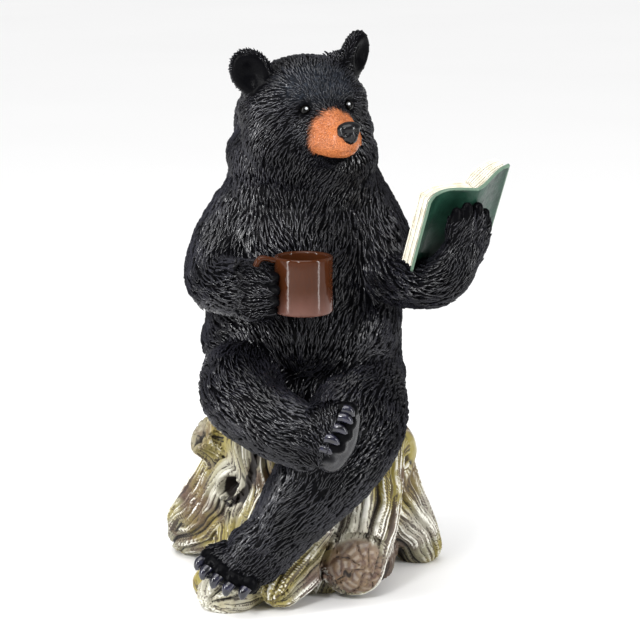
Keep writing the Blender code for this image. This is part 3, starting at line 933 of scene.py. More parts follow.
@dataclass(frozen=True)
class FurCoat:
    """Locks of carved fur, laid over a skin by a Geometry Nodes tree.

    The spacing and a lock's three sizes are in two-hundredths of the figure's height.
    """

    name: str
    mask: str
    spacing: float
    length: float
    width: float
    height: float
    seed: int

    def lock(self) -> bpy.types.Object:
        """One lock of unit size: root at y 0, tip at y 1, its ridge along the middle.

        Returns:
            The lock, as an object.
        """
        rows = (
            (0.0, 0.22, -0.35, -0.70),
            (0.22, 0.46, 0.65, -0.55),
            (0.50, 0.48, 1.0, -0.35),
            (0.78, 0.28, 0.85, -0.10),
            (1.0, 0.02, 0.20, 0.05),
        )
        places, crest = [], []
        for y, half, top, edge in rows:
            bend = 0.35 * math.sin(math.pi * 0.5 * y) ** 2
            for x, z, level in ((-half, edge, 0.0), (0.0, top, 1.0), (half, edge, 0.0)):
                places.append((x + bend, y, z))
                crest.append(level)
        faces = []
        for r in range(len(rows) - 1):
            for c in range(2):
                a = r * 3 + c
                faces.append((a, a + 1, a + 4, a + 3))
        mesh = bpy.data.meshes.new("lock")
        mesh.from_pydata(places, [], faces)
        mesh.update()
        smooth_shaded(mesh)
        paint_level(mesh, "lock_crest", np.array(crest))
        return new_object("lock", mesh)

    def tree(self) -> bpy.types.NodeTree:
        """The node tree: scatter points, turn a lock along the fur at each, and make it all real.

        Returns:
            The tree, with named inputs for the lock's sizes.
        """
        tree = bpy.data.node_groups.new(self.name, "GeometryNodeTree")
        face = tree.interface
        face.new_socket("Geometry", in_out="INPUT", socket_type="NodeSocketGeometry")
        for label in ("Spacing", "Length", "Width", "Height"):
            face.new_socket(label, in_out="INPUT", socket_type="NodeSocketFloat")
        for label, kind in (("Seed", "Int"), ("Lock", "Object"), ("Finish", "Material")):
            face.new_socket(label, in_out="INPUT", socket_type="NodeSocket" + kind)
        face.new_socket("Geometry", in_out="OUTPUT", socket_type="NodeSocketGeometry")
        nodes, links = tree.nodes, tree.links
        given = nodes.new("NodeGroupInput").outputs
        result = nodes.new("NodeGroupOutput")

        def attribute(name: str, kind: str) -> Socket:
            """A value that the skin keeps at its corners.

            Args:
                name: The name it is kept under.
                kind: The kind of value.

            Returns:
                The value.
            """
            node = nodes.new("GeometryNodeInputNamedAttribute")
            node.data_type = kind
            node.inputs["Name"].default_value = name
            return node.outputs["Attribute"]

        def chance(low: float, high: float, salt: int) -> Socket:
            """A random number for each lock.

            Args:
                low: The least.
                high: The greatest.
                salt: Sets this draw apart from the others.

            Returns:
                The number.
            """
            node = nodes.new("FunctionNodeRandomValue")
            node.inputs[2].default_value = low
            node.inputs[3].default_value = high
            add = nodes.new("FunctionNodeIntegerMath")
            links.new(given["Seed"], add.inputs[0])
            add.inputs[1].default_value = salt
            links.new(add.outputs[0], node.inputs["Seed"])
            return node.outputs[1]

        def times(a: Socket, b: Socket) -> Socket:
            """The product of two levels.

            Args:
                a: The first level.
                b: The second level.

            Returns:
                The product.
            """
            node = nodes.new("ShaderNodeMath")
            node.operation = "MULTIPLY"
            links.new(a, node.inputs[0])
            links.new(b, node.inputs[1])
            return node.outputs[0]

        scatter = nodes.new("GeometryNodeDistributePointsOnFaces")
        scatter.distribute_method = "POISSON"
        links.new(given["Geometry"], scatter.inputs["Mesh"])
        links.new(given["Spacing"], scatter.inputs["Distance Min"])
        scatter.inputs["Density Max"].default_value = 3.0 / (self.spacing * SHARE) ** 2
        links.new(attribute(self.mask, "FLOAT"), scatter.inputs["Density Factor"])
        links.new(given["Seed"], scatter.inputs["Seed"])

        axes = nodes.new("FunctionNodeAxesToRotation")
        axes.primary_axis = "Z"
        axes.secondary_axis = "Y"
        links.new(scatter.outputs["Normal"], axes.inputs["Primary Axis"])
        links.new(attribute("flow", "FLOAT_VECTOR"), axes.inputs["Secondary Axis"])
        swing = nodes.new("FunctionNodeAxisAngleToRotation")
        links.new(chance(-0.32, 0.32, 1), swing.inputs["Angle"])
        turn = nodes.new("FunctionNodeRotateRotation")
        turn.rotation_space = "LOCAL"
        links.new(axes.outputs[0], turn.inputs[0])
        links.new(swing.outputs[0], turn.inputs[1])

        size = nodes.new("ShaderNodeCombineXYZ")
        links.new(times(given["Width"], chance(0.8, 1.25, 2)), size.inputs[0])
        links.new(times(given["Length"], chance(0.7, 1.3, 3)), size.inputs[1])
        links.new(times(given["Height"], chance(0.7, 1.2, 4)), size.inputs[2])

        template = nodes.new("GeometryNodeObjectInfo")
        links.new(given["Lock"], template.inputs[0])
        spread = nodes.new("GeometryNodeInstanceOnPoints")
        links.new(scatter.outputs["Points"], spread.inputs["Points"])
        links.new(template.outputs["Geometry"], spread.inputs["Instance"])
        links.new(turn.outputs[0], spread.inputs["Rotation"])
        links.new(size.outputs[0], spread.inputs["Scale"])
        real = nodes.new("GeometryNodeRealizeInstances")
        links.new(spread.outputs[0], real.inputs[0])
        paint = nodes.new("GeometryNodeSetMaterial")
        links.new(real.outputs[0], paint.inputs["Geometry"])
        links.new(given["Finish"], paint.inputs["Material"])
        links.new(paint.outputs[0], result.inputs[0])
        return tree

    def lay(self, skin: Mesh, finish: bpy.types.Material) -> Mesh:
        """Lays the coat over a skin.

        Args:
            skin: The skin, with its flow and its masks.
            finish: The fur's material.

        Returns:
            The coat as a plain mesh.
        """
        thing = new_object(self.name, skin.copy())
        lock = self.lock()
        coat = thing.modifiers.new("coat", "NODES")
        coat.node_group = self.tree()
        values = {
            "Spacing": self.spacing * SHARE,
            "Length": self.length * SHARE,
            "Width": self.width * SHARE,
            "Height": self.height * SHARE,
            "Seed": self.seed,
            "Lock": lock,
            "Finish": finish,
        }
        for item in coat.node_group.interface.items_tree:
            if item.in_out == "INPUT" and item.name in values:
                coat[item.identifier] = values[item.name]
        made = settled(thing)
        bpy.data.objects.remove(lock)
        made.name = self.name
        return made


CLAW_PAINT = GlossFinish("claw_paint", srgb(12, 12, 18), srgb(34, 34, 50), 0.14)
NOSE_PAINT = GlossFinish("nose_paint", srgb(8, 8, 9), srgb(18, 18, 21), 0.14, 0.00004, 0.0, 0.3)
EYE_PAINT = GlossFinish("eye_paint", srgb(3, 3, 3), srgb(6, 5, 4), 0.07, 0.00001, 0.0, 0.16)


@dataclass
class BearFigure:
    """The bear: block-out, face, paws, claws and coat."""

    head: Head = field(default_factory=Head)
    masses: Sequence[tuple[float, ...]] = (
        (0, 3, 76, 36, 30, 24),
        (0, -2, 97, 34.5, 31, 27),
        (0, -1, 122, 31, 26, 27),
        (-4.5, -2, 90, 31.7, 28, 18),
        (0, 0, 145, 27, 22, 20),
        (-0.5, -4, 156, 26.4, 22, 17),
        (-9.5, 2, 166, 14.8, 16, 17),
        (0, 33, 68, 6, 7, 6),
    )
    right_arm: Sequence[Station] = (
        (-18, 0, 140, 11),
        (-27, -7, 125, 11.5),
        (-30.6, -19, 114.8, 10.3),
        (-25, -33, 113.6, 9.4),
        (-16.5, -42, 115, 9),
    )
    left_arm: Sequence[Station] = (
        (19, 0, 140, 11),
        (26.5, -9, 126, 11),
        (31, -20, 116, 9.5),
        (40, -36, 115.2, 8),
        (48.5, -44, 119, 8),
        (53.5, -46, 127, 6.8),
    )
    right_leg: Sequence[Station] = (
        (-16.5, -2, 77, 17.5),
        (-21.5, -30, 78.5, 14.2),
        (-20.5, -42, 75.5, 12.6),
        (-10.5, -51, 70, 11.5),
        (1, -57, 65.5, 10.2),
    )
    left_leg: Sequence[Station] = (
        (19, -4, 72, 17),
        (18.5, -28, 65, 17.2),
        (11.5, -40, 55, 16.5),
        (0, -42, 40.2, 13.3),
        (-8.8, -42, 27.9, 10.6),
        (-16.4, -43.5, 20.4, 10.6),
    )
    back: Sequence[Station] = (
        (0, 12.5, 72, 20),
        (0, 10.5, 90, 19.5),
        (0, 6.5, 110, 19.5),
        (0, 4, 125, 19.5),
        (0, 2, 140, 19),
        (0, 0, 155, 18),
    )
    flanks: Strands = (
        ((19, 3, 76, 16), (18, 1, 97, 16), (15.2, 0, 115, 15.6), (14, 0, 130, 15.2), (11.8, 0, 146, 15)),
        ((13, 10, 76, 18), (12.5, 8, 97, 18.5), (11, 5.5, 115, 17), (10, 4.5, 130, 16), (8, 2, 148, 15)),
    )
    sole: Sequence[Station] = ((14, -59.5, 73, 5.6), (12.6, -60, 66, 5.8), (9.4, -60, 60, 5.5))
    feet: Sequence[tuple[float, ...]] = ((6, -60, 68, 8, 6.5, 10.5), (-23, -45, 17, 12, 8.5, 7))
    fingers: Strands = (
        (
            (-20, -45, 120.6, 3.6), (-17.6, -51.6, 120.8, 3.0),
            (-12.8, -54.2, 120.6, 2.5), (-9.6, -53.0, 120.4, 2.0),
        ),
        (
            (-20, -46, 116.4, 3.6), (-17.6, -52.4, 116.4, 3.0),
            (-12.8, -54.8, 116.3, 2.5), (-9.4, -53.8, 116.2, 2.0),
        ),
        (
            (-20, -46, 112.2, 3.6), (-17.6, -52.2, 112.2, 3.0),
            (-12.8, -54.6, 112.1, 2.5), (-9.6, -53.6, 112.0, 2.0),
        ),
        (
            (-20, -45, 108.4, 3.4), (-17.6, -51.2, 108.2, 2.8),
            (-13.2, -53.6, 108.2, 2.4), (-10.2, -52.4, 108.2, 1.9),
        ),
        (
            (52.5, -46, 129, 4.2), (51.6, -48.4, 133.7, 3.4),
            (51.2, -50.8, 138.7, 2.6), (51.6, -51.6, 142.3, 1.8),
        ),
        (
            (54, -46, 129, 4.4), (54.4, -47.4, 134.4, 3.6),
            (54.8, -49, 139.6, 2.7), (55.2, -49.6, 143.6, 1.9),
        ),
        (
            (56, -44, 128, 4.4), (57.4, -44, 133.7, 3.6),
            (58.4, -45.2, 138.8, 2.7), (59.0, -45.4, 143.0, 1.9),
        ),
        (
            (56.5, -41, 126, 4.2), (59.4, -39.8, 130.4, 3.6),
            (61.0, -40, 135.5, 2.6), (61.8, -40, 140.2, 1.8),
        ),
    )
    toes: Strands = (
        ((10, -62, 76, 4), (15.8, -63, 76.8, 3)),
        ((9, -63, 72.6, 4), (15.2, -64.5, 73.2, 3.1)),
        ((7.5, -63, 69, 4), (14, -65, 69.4, 3.1)),
        ((6, -63, 65, 4), (12, -65, 65.4, 3.1)),
        ((4, -62, 61.5, 4), (9.5, -64, 61, 3)),
        ((-26, -42, 20, 5), (-32.6, -45.5, 20.2, 3.5)),
        ((-25, -43, 19, 5), (-31, -48.8, 18.6, 3.8)),
        ((-24, -44, 18, 5), (-28, -51.2, 16.6, 3.9)),
        ((-22, -44, 17, 5), (-24, -52.6, 14.6, 3.9)),
        ((-18, -44, 16, 5), (-18.8, -52.4, 12.8, 3.8)),
    )
    claw_rings: int = 8
    claw_sides: int = 12
    claws: Strands = (
        ((13.2, -66.6, 78, 1.3), (17.4, -67.4, 76, 0.8)),
        ((12, -67.6, 75.4, 1.3), (16.8, -68.6, 73.8, 0.8)),
        ((10.4, -67.8, 71.8, 1.3), (15, -69, 70.4, 0.8)),
        ((7.6, -67.4, 68.2, 1.3), (12.4, -68.8, 66.6, 0.8)),
        ((6, -66, 64.2, 1.3), (10, -67.4, 63, 0.8)),
        ((-34.4, -47.5, 20, 1.5), (-37.2, -50, 16.8, 0.9)),
        ((-32.4, -51.6, 18.2, 1.5), (-35.2, -54, 14.6, 0.9)),
        ((-28.8, -54.2, 16, 1.5), (-31.4, -56.4, 12.2, 0.9)),
        ((-24.6, -55.6, 13.6, 1.5), (-27, -57.4, 9.8, 0.9)),
        ((-19.2, -55.2, 12, 1.5), (-21.4, -57, 8.4, 0.9)),
    )
    face_ways: Sequence[tuple[Place, Place]] = (
        ((21, -6, -2), (0.4, 0.5, -0.8)),
        ((16, -14, -6), (0.8, 0.5, -0.4)),
        ((14, -14, 8), (0.7, 0.6, 0.1)),
        ((6, -18, 14), (0.2, 0.5, 0.8)),
        ((4, -6, 20), (0.1, 1, 0.1)),
        ((10, 14, 8), (0.1, 0.4, -0.9)),
        ((12, -14, -18), (0.3, 0.3, -0.9)),
        ((20, 2, -18), (0.2, 0.2, -1)),
    )
    coats: Sequence[FurCoat] = (
        FurCoat("fur_face", "coat_face", 0.72, 2.0, 0.62, 0.34, 2),
        FurCoat("fur_ears", "coat_ears", 0.75, 1.7, 0.5, 0.2, 11),
        FurCoat("fur_head", "coat_head", 1.0, 4.2, 0.95, 0.8, 3),
        FurCoat("fur_chest", "coat_chest", 1.22, 6.2, 1.15, 1.1, 5),
        FurCoat("fur_legs", "coat_legs", 1.2, 5.8, 1.1, 1.1, 7),
        FurCoat("fur_paws", "coat_paws", 0.9, 3.0, 0.8, 0.55, 9),
    )
    skin_triangles: int = 150000

    def limbs(self) -> list[Sequence[Station]]:
        """The four limbs."""
        return [self.right_arm, self.left_arm, self.right_leg, self.left_leg]

    def fillers(self) -> list[Sequence[Station]]:
        """The limbs inside the back and both flanks, which fill the creases between the masses.

        Returns:
            Their stations.
        """
        limbs = [self.back]
        for flank in self.flanks:
            limbs += [tuple((side * x, y, z, r) for x, y, z, r in flank) for side in (-1, 1)]
        return limbs

    def body_skin(self) -> Mesh:
        """The big masses under one skin, with the face's masses and the ears set on them.

        Returns:
            The skin.
        """
        head = self.head.frame()
        block = BlockOut()
        for mass in self.masses:
            block.mass(mass[:3], mass[3:])
        for limb in (*self.limbs(), *self.fillers()):
            block.limb(limb)
        block.mass((0.5, 0, 1.5), (22.6, 21, 18), head)
        for side in (-1, 1):
            block.mass((side * 11, -3, -7.5), (12.4, 13, 12.3), head)
        block.mass((0, -9, 6), (14, 11, 10.5), head)
        block = BlockOut(skins=[block.skin(1.0, 12)])
        for mass in self.feet:
            block.mass(mass[:3], mass[3:])
        block.limb(self.sole)
        block.limb(self.head.muzzle, head)
        block.limb(self.head.jaw, head)
        for ear in self.head.ears():
            block.mass((0, 0, 0), (7.5, 3.9, 8.9), ear)
            block.mass((0, 1.5, -6), (6.5, 4.5, 7), ear)
        block.mass((15.5, -2, 14.5), (6.5, 4.2, 5.5), head)
        for side in (-1, 1):
            block.mass((side * 7.2, -15.2, 6), (5.5, 5, 3.6), head)
        return block.skin(0.8, 6)

    def full_skin(self) -> Mesh:
        """The whole bear under one closed skin, with fingers, toes and eyelids.

        Returns:
            The skin.
        """
        head = self.head.frame()
        skin = self.body_skin()
        face = Carver(skin, head)
        for side, (x, y, z) in zip((-1, 1), self.head.eyes):
            face.press((x, y - 1.2, z), (3.8, 5, 2.8), (0, 1.2, 0))
            inner, outer = x - side * 3.2, x + side * 3.2
            upper = ((inner, y - 1.8, z - 0.6), (x, y - 2.2, z + 2.0), (outer, y - 0.4, z + 0.2))
            lower = ((inner, y - 2.0, z - 1.6), (x, y - 2.2, z - 2.4), (outer, y - 0.4, z - 1.4))
            face.groove(upper, 1.4, -0.8)
            face.groove(lower, 1.2, -0.6)
        for ear in self.head.ears():
            Carver(skin, ear).press((0, -4.5, 0.2), (6.0, 6.5, 7.2), (0, 3.2, -0.3))
        block = BlockOut(skins=[skin])
        for digit in (*self.fingers, *self.toes):
            block.limb(digit)
        return block.skin(0.55, 3)

    def carve_face(self, skin: Mesh) -> None:
        """Cuts the mouth and the cleft under the nose.

        Args:
            skin: The skin.
        """
        face = Carver(skin, self.head.frame())
        for side in (-1, 1):
            face.groove(self.head.mouth(side), 1.1, 1.3)
        face.groove([(0, -38.0, -8.6), (0, -36.8, -12.4)], 0.7, 0.7)

    def fur_ways(self) -> list[tuple[Vector, Vector, float]]:
        """Which way the fur is brushed, down each limb, down the trunk and back over the face.

        Returns:
            A place, the direction there, and how far it reaches, for each.
        """
        ways: list[tuple[Vector, Vector, float]] = []
        for limb in self.limbs():
            run = limb_points(limb, 0.5)
            for here, there in zip(run, run[1:]):
                if (there - here).xyz.length > 0.01:
                    ways.append((here.xyz, (there - here).xyz.normalized(), here.w))
        for side in (-1, 1):
            for z in (150, 135, 120, 105, 90):
                ways.append((Vector((side * 10, -24, z)), Vector((-side * 0.6, 0, -1)).normalized(), 12))
                ways.append((Vector((side * 14, 22, z)), Vector((-side * 0.25, 0, -1)).normalized(), 14))
                ways.append((Vector((side * 30, 6, z)), Vector((0, 0.15, -1)).normalized(), 12))
        head = self.head.frame()
        turn = head.to_3x3()
        for side in (-1, 1):
            flip = Vector((side, 1, 1))
            for place, way in self.face_ways:
                at = head @ share(flip * Vector(place)) / SHARE
                ways.append((at, (turn @ (flip * Vector(way))).normalized(), 7))
        return ways

    def comb(self, skin: Mesh) -> None:
        """Works out which way the fur lies, and keeps it on the skin.

        Args:
            skin: The skin, which keeps the directions.
        """
        places = places_of(skin) / SHARE
        flow = np.zeros_like(places)
        for at, way, reach in self.fur_ways():
            away = ((places - np.array(at)) ** 2).sum(axis=1) / (reach * reach)
            flow += np.exp(-away)[:, None] * np.array(way) + (1e-6 / (1 + away))[:, None] * np.array(way)
        normals = normals_of(skin)
        flow -= normals * (flow * normals).sum(axis=1)[:, None]
        flow /= np.linalg.norm(flow, axis=1)[:, None] + 1e-12
        side_way = np.cross(normals, flow)
        swirl = 0.5 * noise_at(places, 0.07, 3)
        flow = flow * np.cos(swirl)[:, None] + side_way * np.sin(swirl)[:, None]
        kept = skin.attributes.new("flow", "FLOAT_VECTOR", "POINT")
        kept.data.foreach_set("vector", flow.astype(np.float32).ravel())

    def bare_sole(self, spots: np.ndarray) -> np.ndarray:
        """How bare the raised foot's sole is.

        Args:
            spots: Rows of x, y, z in shares of the height.

        Returns:
            A level from 0 to 1 for each place.
        """
        to_sole = np.full(len(spots), FAR)
        for point in limb_points(self.sole, 0.2):
            to_sole = np.minimum(to_sole, np.linalg.norm(spots - np.array(point.xyz), axis=1) - point.w)
        return soft_step(to_sole, 1.6, 0.7) * (spots[:, 0] > 3)

    def mark_paint(self, skin: Mesh) -> None:
        """Marks where the paint changes: the muzzle, the mouth, the brow and the bare sole.

        Args:
            skin: The skin, which keeps the levels.
        """
        spots = places_of(skin) / SHARE
        face = inside_of(self.head.frame(), places_of(skin)) / SHARE
        reach, side = np.linalg.norm(face, axis=1), np.abs(face[:, 0])
        past_edge = side - (8.5 - 0.38 * (face[:, 2] + 6))
        above_chin = face[:, 2] + 13.5 - 0.17 * (face[:, 1] + 24)
        snout = soft_step(-face[:, 1], 19, 26) * soft_step(past_edge, 2.2, -2.2)
        snout *= soft_step(face[:, 2], 1.8, -2.2)
        snout *= soft_step(above_chin, 0, 0.8) * soft_step(reach, 48, 46)
        bridge = soft_step(-face[:, 1], 20, 24.5) * soft_step(side, 4.6, 2.2)
        bridge *= soft_step(face[:, 2], 2.6, -0.4)
        bridge *= soft_step(above_chin, 0, 0.8) * (reach < 45)
        paint_level(skin, "muzzle", np.maximum(snout, bridge))
        line = []
        for sign in (-1, 1):
            stations = [(*place, 1.0) for place in self.head.mouth(sign)]
            line += [point.xyz for point in limb_points(stations, 0.4)]
        paint_level(skin, "mouth", soft_step(reach_to(face, line), 1.1, 0.5))
        brow = soft_step(-face[:, 1], 8, 16) * soft_step(face[:, 2], 2, 8)
        brow *= soft_step(side, 16, 8) * (reach < 32)
        paint_level(skin, "brow", brow)
        paint_level(skin, "pad", self.bare_sole(spots))

    def mark_coats(self, skin: Mesh) -> None:
        """Marks where each coat of fur grows.

        Args:
            skin: The skin, which keeps the levels.
        """
        spots = places_of(skin) / SHARE
        face = inside_of(self.head.frame(), places_of(skin)) / SHARE
        reach = np.linalg.norm(face, axis=1)
        near_eye = reach_to(face, [(x, y - 1, z) for x, y, z in self.head.eyes])
        is_ear, in_ear = np.zeros(len(spots), bool), np.zeros(len(spots), bool)
        ear_reach = np.full(len(spots), 9.0)
        for ear in self.head.ears():
            local = inside_of(ear, places_of(skin)) / SHARE
            ball = ((local / np.array((9.4, 6.5, 10.6))) ** 2).sum(axis=1)
            hollow = (local[:, 0] / 6) ** 2 + (local[:, 2] / 7.4) ** 2 < 1
            is_ear |= ball < 1
            in_ear |= (ball < 1) & (local[:, 1] < 0) & hollow
            ear_reach = np.minimum(ear_reach, np.sqrt(ball))
        lips = (face[:, 2] < -9.5) & (face[:, 1] < -24) & (reach < 46)
        snub = np.linalg.norm(face - np.array((0, -36, -5.5)), axis=1) < 5.4
        open_skin = (near_eye > 2.9) * ~in_ear * ~lips * ~snub
        front = soft_step(-face[:, 1], 13, 18) * soft_step(near_eye, 16, 10)
        fine = np.clip(front + soft_step(ear_reach, 1.5, 1.1) + (face[:, 1] < -20), 0, 1) * (reach < 46)
        is_head = soft_step(reach, 33, 29) * (face[:, 1] > -26)
        is_body = (1 - is_head) * (1 - fine) * (reach > 26)
        tips = reach_to(spots, [digit[-1][:3] for digit in (*self.fingers, *self.toes)])
        paws = np.maximum(soft_step(tips, 18, 13), soft_step(spots[:, 0], 41, 47) * (spots[:, 2] > 100))
        covered = self.bare_sole(spots) < 0.3
        upper = spots[:, 2] > 104
        paint_level(skin, "coat_face", fine * open_skin * ~is_ear)
        paint_level(skin, "coat_ears", is_ear & ~in_ear)
        paint_level(skin, "coat_head", is_head * (1 - fine) * (near_eye > 4))
        paint_level(skin, "coat_paws", is_body * paws * (tips > 4.2) * covered)
        paint_level(skin, "coat_chest", is_body * (1 - paws) * upper)
        paint_level(skin, "coat_legs", is_body * (1 - paws) * covered * ~upper * (spots[:, 2] > 4))

    def claw_mesh(self) -> Mesh:
        """The ten claws, each a bent cone with a blunt tip.

        Returns:
            The mesh.
        """
        parts = []
        for root, tip in self.claws:
            a, b = Vector(root[:3]), Vector(tip[:3])
            way = (b - a).normalized()
            side = way.cross(Vector((0, 0, 1))).normalized()
            up = side.cross(way)
            rings = []
            for k in range(self.claw_rings + 1):
                t = k / self.claw_rings
                arch = 1.1 * math.sin(math.pi * min(1, t * 0.9 + 0.1))
                centre = a.lerp(b, t) + up * arch * 0.7
                r = root[3] * (1.25 * math.sqrt(max(0.0, 1 - t**2.6)) + 0.06)
                ring = []
                for s in range(self.claw_sides):
                    turn = math.tau * s / self.claw_sides
                    ring.append(share(centre + side * r * 0.95 * math.cos(turn) + up * r * math.sin(turn)))
                rings.append(np.array(ring))
            parts.append(swept(rings))
        mesh = mesh_from("bear_claws", parts)
        smooth_shaded(mesh, 60)
        return mesh

    def nose_mesh(self) -> Mesh:
        """The nose: a broad pad with two nostrils and a cleft.

        Returns:
            The mesh.
        """
        head = self.head.frame()
        block = BlockOut()
        block.mass((0.3, -36.2, -4.4), (4.3, 3.3, 2.3), head)
        block.mass((0.3, -36.5, -6.9), (2.9, 2.8, 3.1), head)
        for side in (-1, 1):
            block.mass((side * 2.2, -36.2, -5.6), (1.7, 2.6, 1.9), head)
        mesh = block.skin(0.28, 12)
        nose = Carver(mesh, head)
        for side in (-1, 1):
            nose.press((side * 2.2, -39.6, -6.4), (1.3, 2.2, 1.1), (-side * 0.2, 1.3, 0.2))
        nose.groove([(0, -39.8, -6.2), (0, -39.0, -9.6)], 0.7, 0.5)
        smooth_shaded(mesh)
        return mesh

    def eye_mesh(self) -> Mesh:
        """The two glossy eyes, each with a white dot of paint that is a painted catchlight.

        Returns:
            The mesh.
        """
        head = self.head.frame()
        places, faces = unit_ball(40, 60)
        parts = []
        for eye in self.head.eyes:
            size = Matrix.Scale(self.head.eye_radius * SHARE, 4)
            ball = np.array(head @ Matrix.Translation(share(eye)) @ size)
            parts.append((places @ ball[:3, :3].T + ball[:3, 3], [tuple(face) for face in faces]))
        mesh = mesh_from("bear_eyes", parts)
        # The painted catchlight: a white dot at the same place on each eye.
        away = np.linalg.norm(places - np.array(Vector(self.head.eye_catchlight).normalized()), axis=1)
        paint_level(mesh, "dot", np.tile(soft_step(away, 0.3, 0.14), len(parts)))
        smooth_shaded(mesh)
        return mesh

    def build(self) -> None:
        """Builds and dresses the bear."""
        fur = FurFinish().material()
        skin = self.full_skin()
        self.carve_face(skin)
        self.comb(skin)
        self.mark_paint(skin)
        self.mark_coats(skin)
        for coat in self.coats:
            place_piece(coat.name, coat.lay(skin, fur), fur, Slot.FUR)
        skin.name = "bear_figure_skin"
        smooth_shaded(skin)
        place_piece("bear_skin", decimated(skin, self.skin_triangles), fur, Slot.FUR, "bear_figure")
        details = (
            ("bear_claws", self.claw_mesh(), CLAW_PAINT),
            ("bear_nose", self.nose_mesh(), NOSE_PAINT),
            ("bear_eyes", self.eye_mesh(), EYE_PAINT),
        )
        for name, mesh, finish in details:
            place_piece(name, mesh, finish.material(), Slot.FUR)


# The stump.


@dataclass(frozen=True)
class CutEnd:
    """A branch's or a root's end, cut flat, dished and cracked in a star.

    The tone is how far the end's own paint covers the wood's, and the heart is where its cracks meet.
    """

    centre: Place
    facing: Place
    radius: float
    dish: float
    cracks: int
    tone: float
    heart: tuple[float, float] = (0, 0)

    def cut(self, mesh: Mesh) -> None:
        """Cuts the end and darkens its cracks.

        Args:
            mesh: The stump's skin, with its grain's levels.
        """
        places = places_of(mesh) / SHARE
        normal = Vector(self.facing).normalized()
        level = Vector((0, 0, 1)).cross(normal).normalized()
        away = places - np.array(self.centre)
        beyond = away @ np.array(normal)
        across, up = away @ np.array(level), away @ np.array(normal.cross(level))
        reach = np.hypot(across, up)
        across, up = across - self.heart[0], up - self.heart[1]
        spread, turn = np.hypot(across, up), np.arctan2(up, across)
        waver = 0.5 * noise_at(np.stack([across, up, across], axis=1), 0.25, 5)
        crack = np.abs(np.sin(self.cracks / 2 * turn + 0.8 * np.sin(2 * turn + 0.3 * spread) + 2 * waver))
        crack = np.clip(1 - 2.0 * crack, 0, 1) * soft_step(reach, self.radius, 0.8 * self.radius)
        ring = 0.5 + 0.5 * np.sin(2.6 * spread + 3 * waver)
        face = -self.dish * np.maximum(0, 1 - (reach / (0.75 * self.radius)) ** 2) - 1.1 * crack - 0.25 * ring
        face -= 0.04 * reach**2
        near = (reach < self.radius + 3) & (beyond > -self.dish - 3)
        cut = np.maximum(0, beyond - face) * near
        move_to(mesh, (places - cut[:, None] * np.array(normal)) * SHARE)
        disc = soft_step(reach, self.radius + 1, self.radius - 1) * near * (beyond > -3)
        hollow = soft_step(reach, 0.5 * self.radius, 0.1 * self.radius) * (self.dish > 2)
        marks = (
            ("crest", 0.72 - 0.6 * crack - 0.5 * hollow),
            ("rib", 0.8 - 0.75 * crack - 0.6 * hollow),
            ("streak", 0.35 + 0.4 * ring),
            ("cut", np.full(len(places), self.tone)),
        )
        for name, level in marks:
            repaint(mesh, name, disc, np.clip(level, 0, 1))


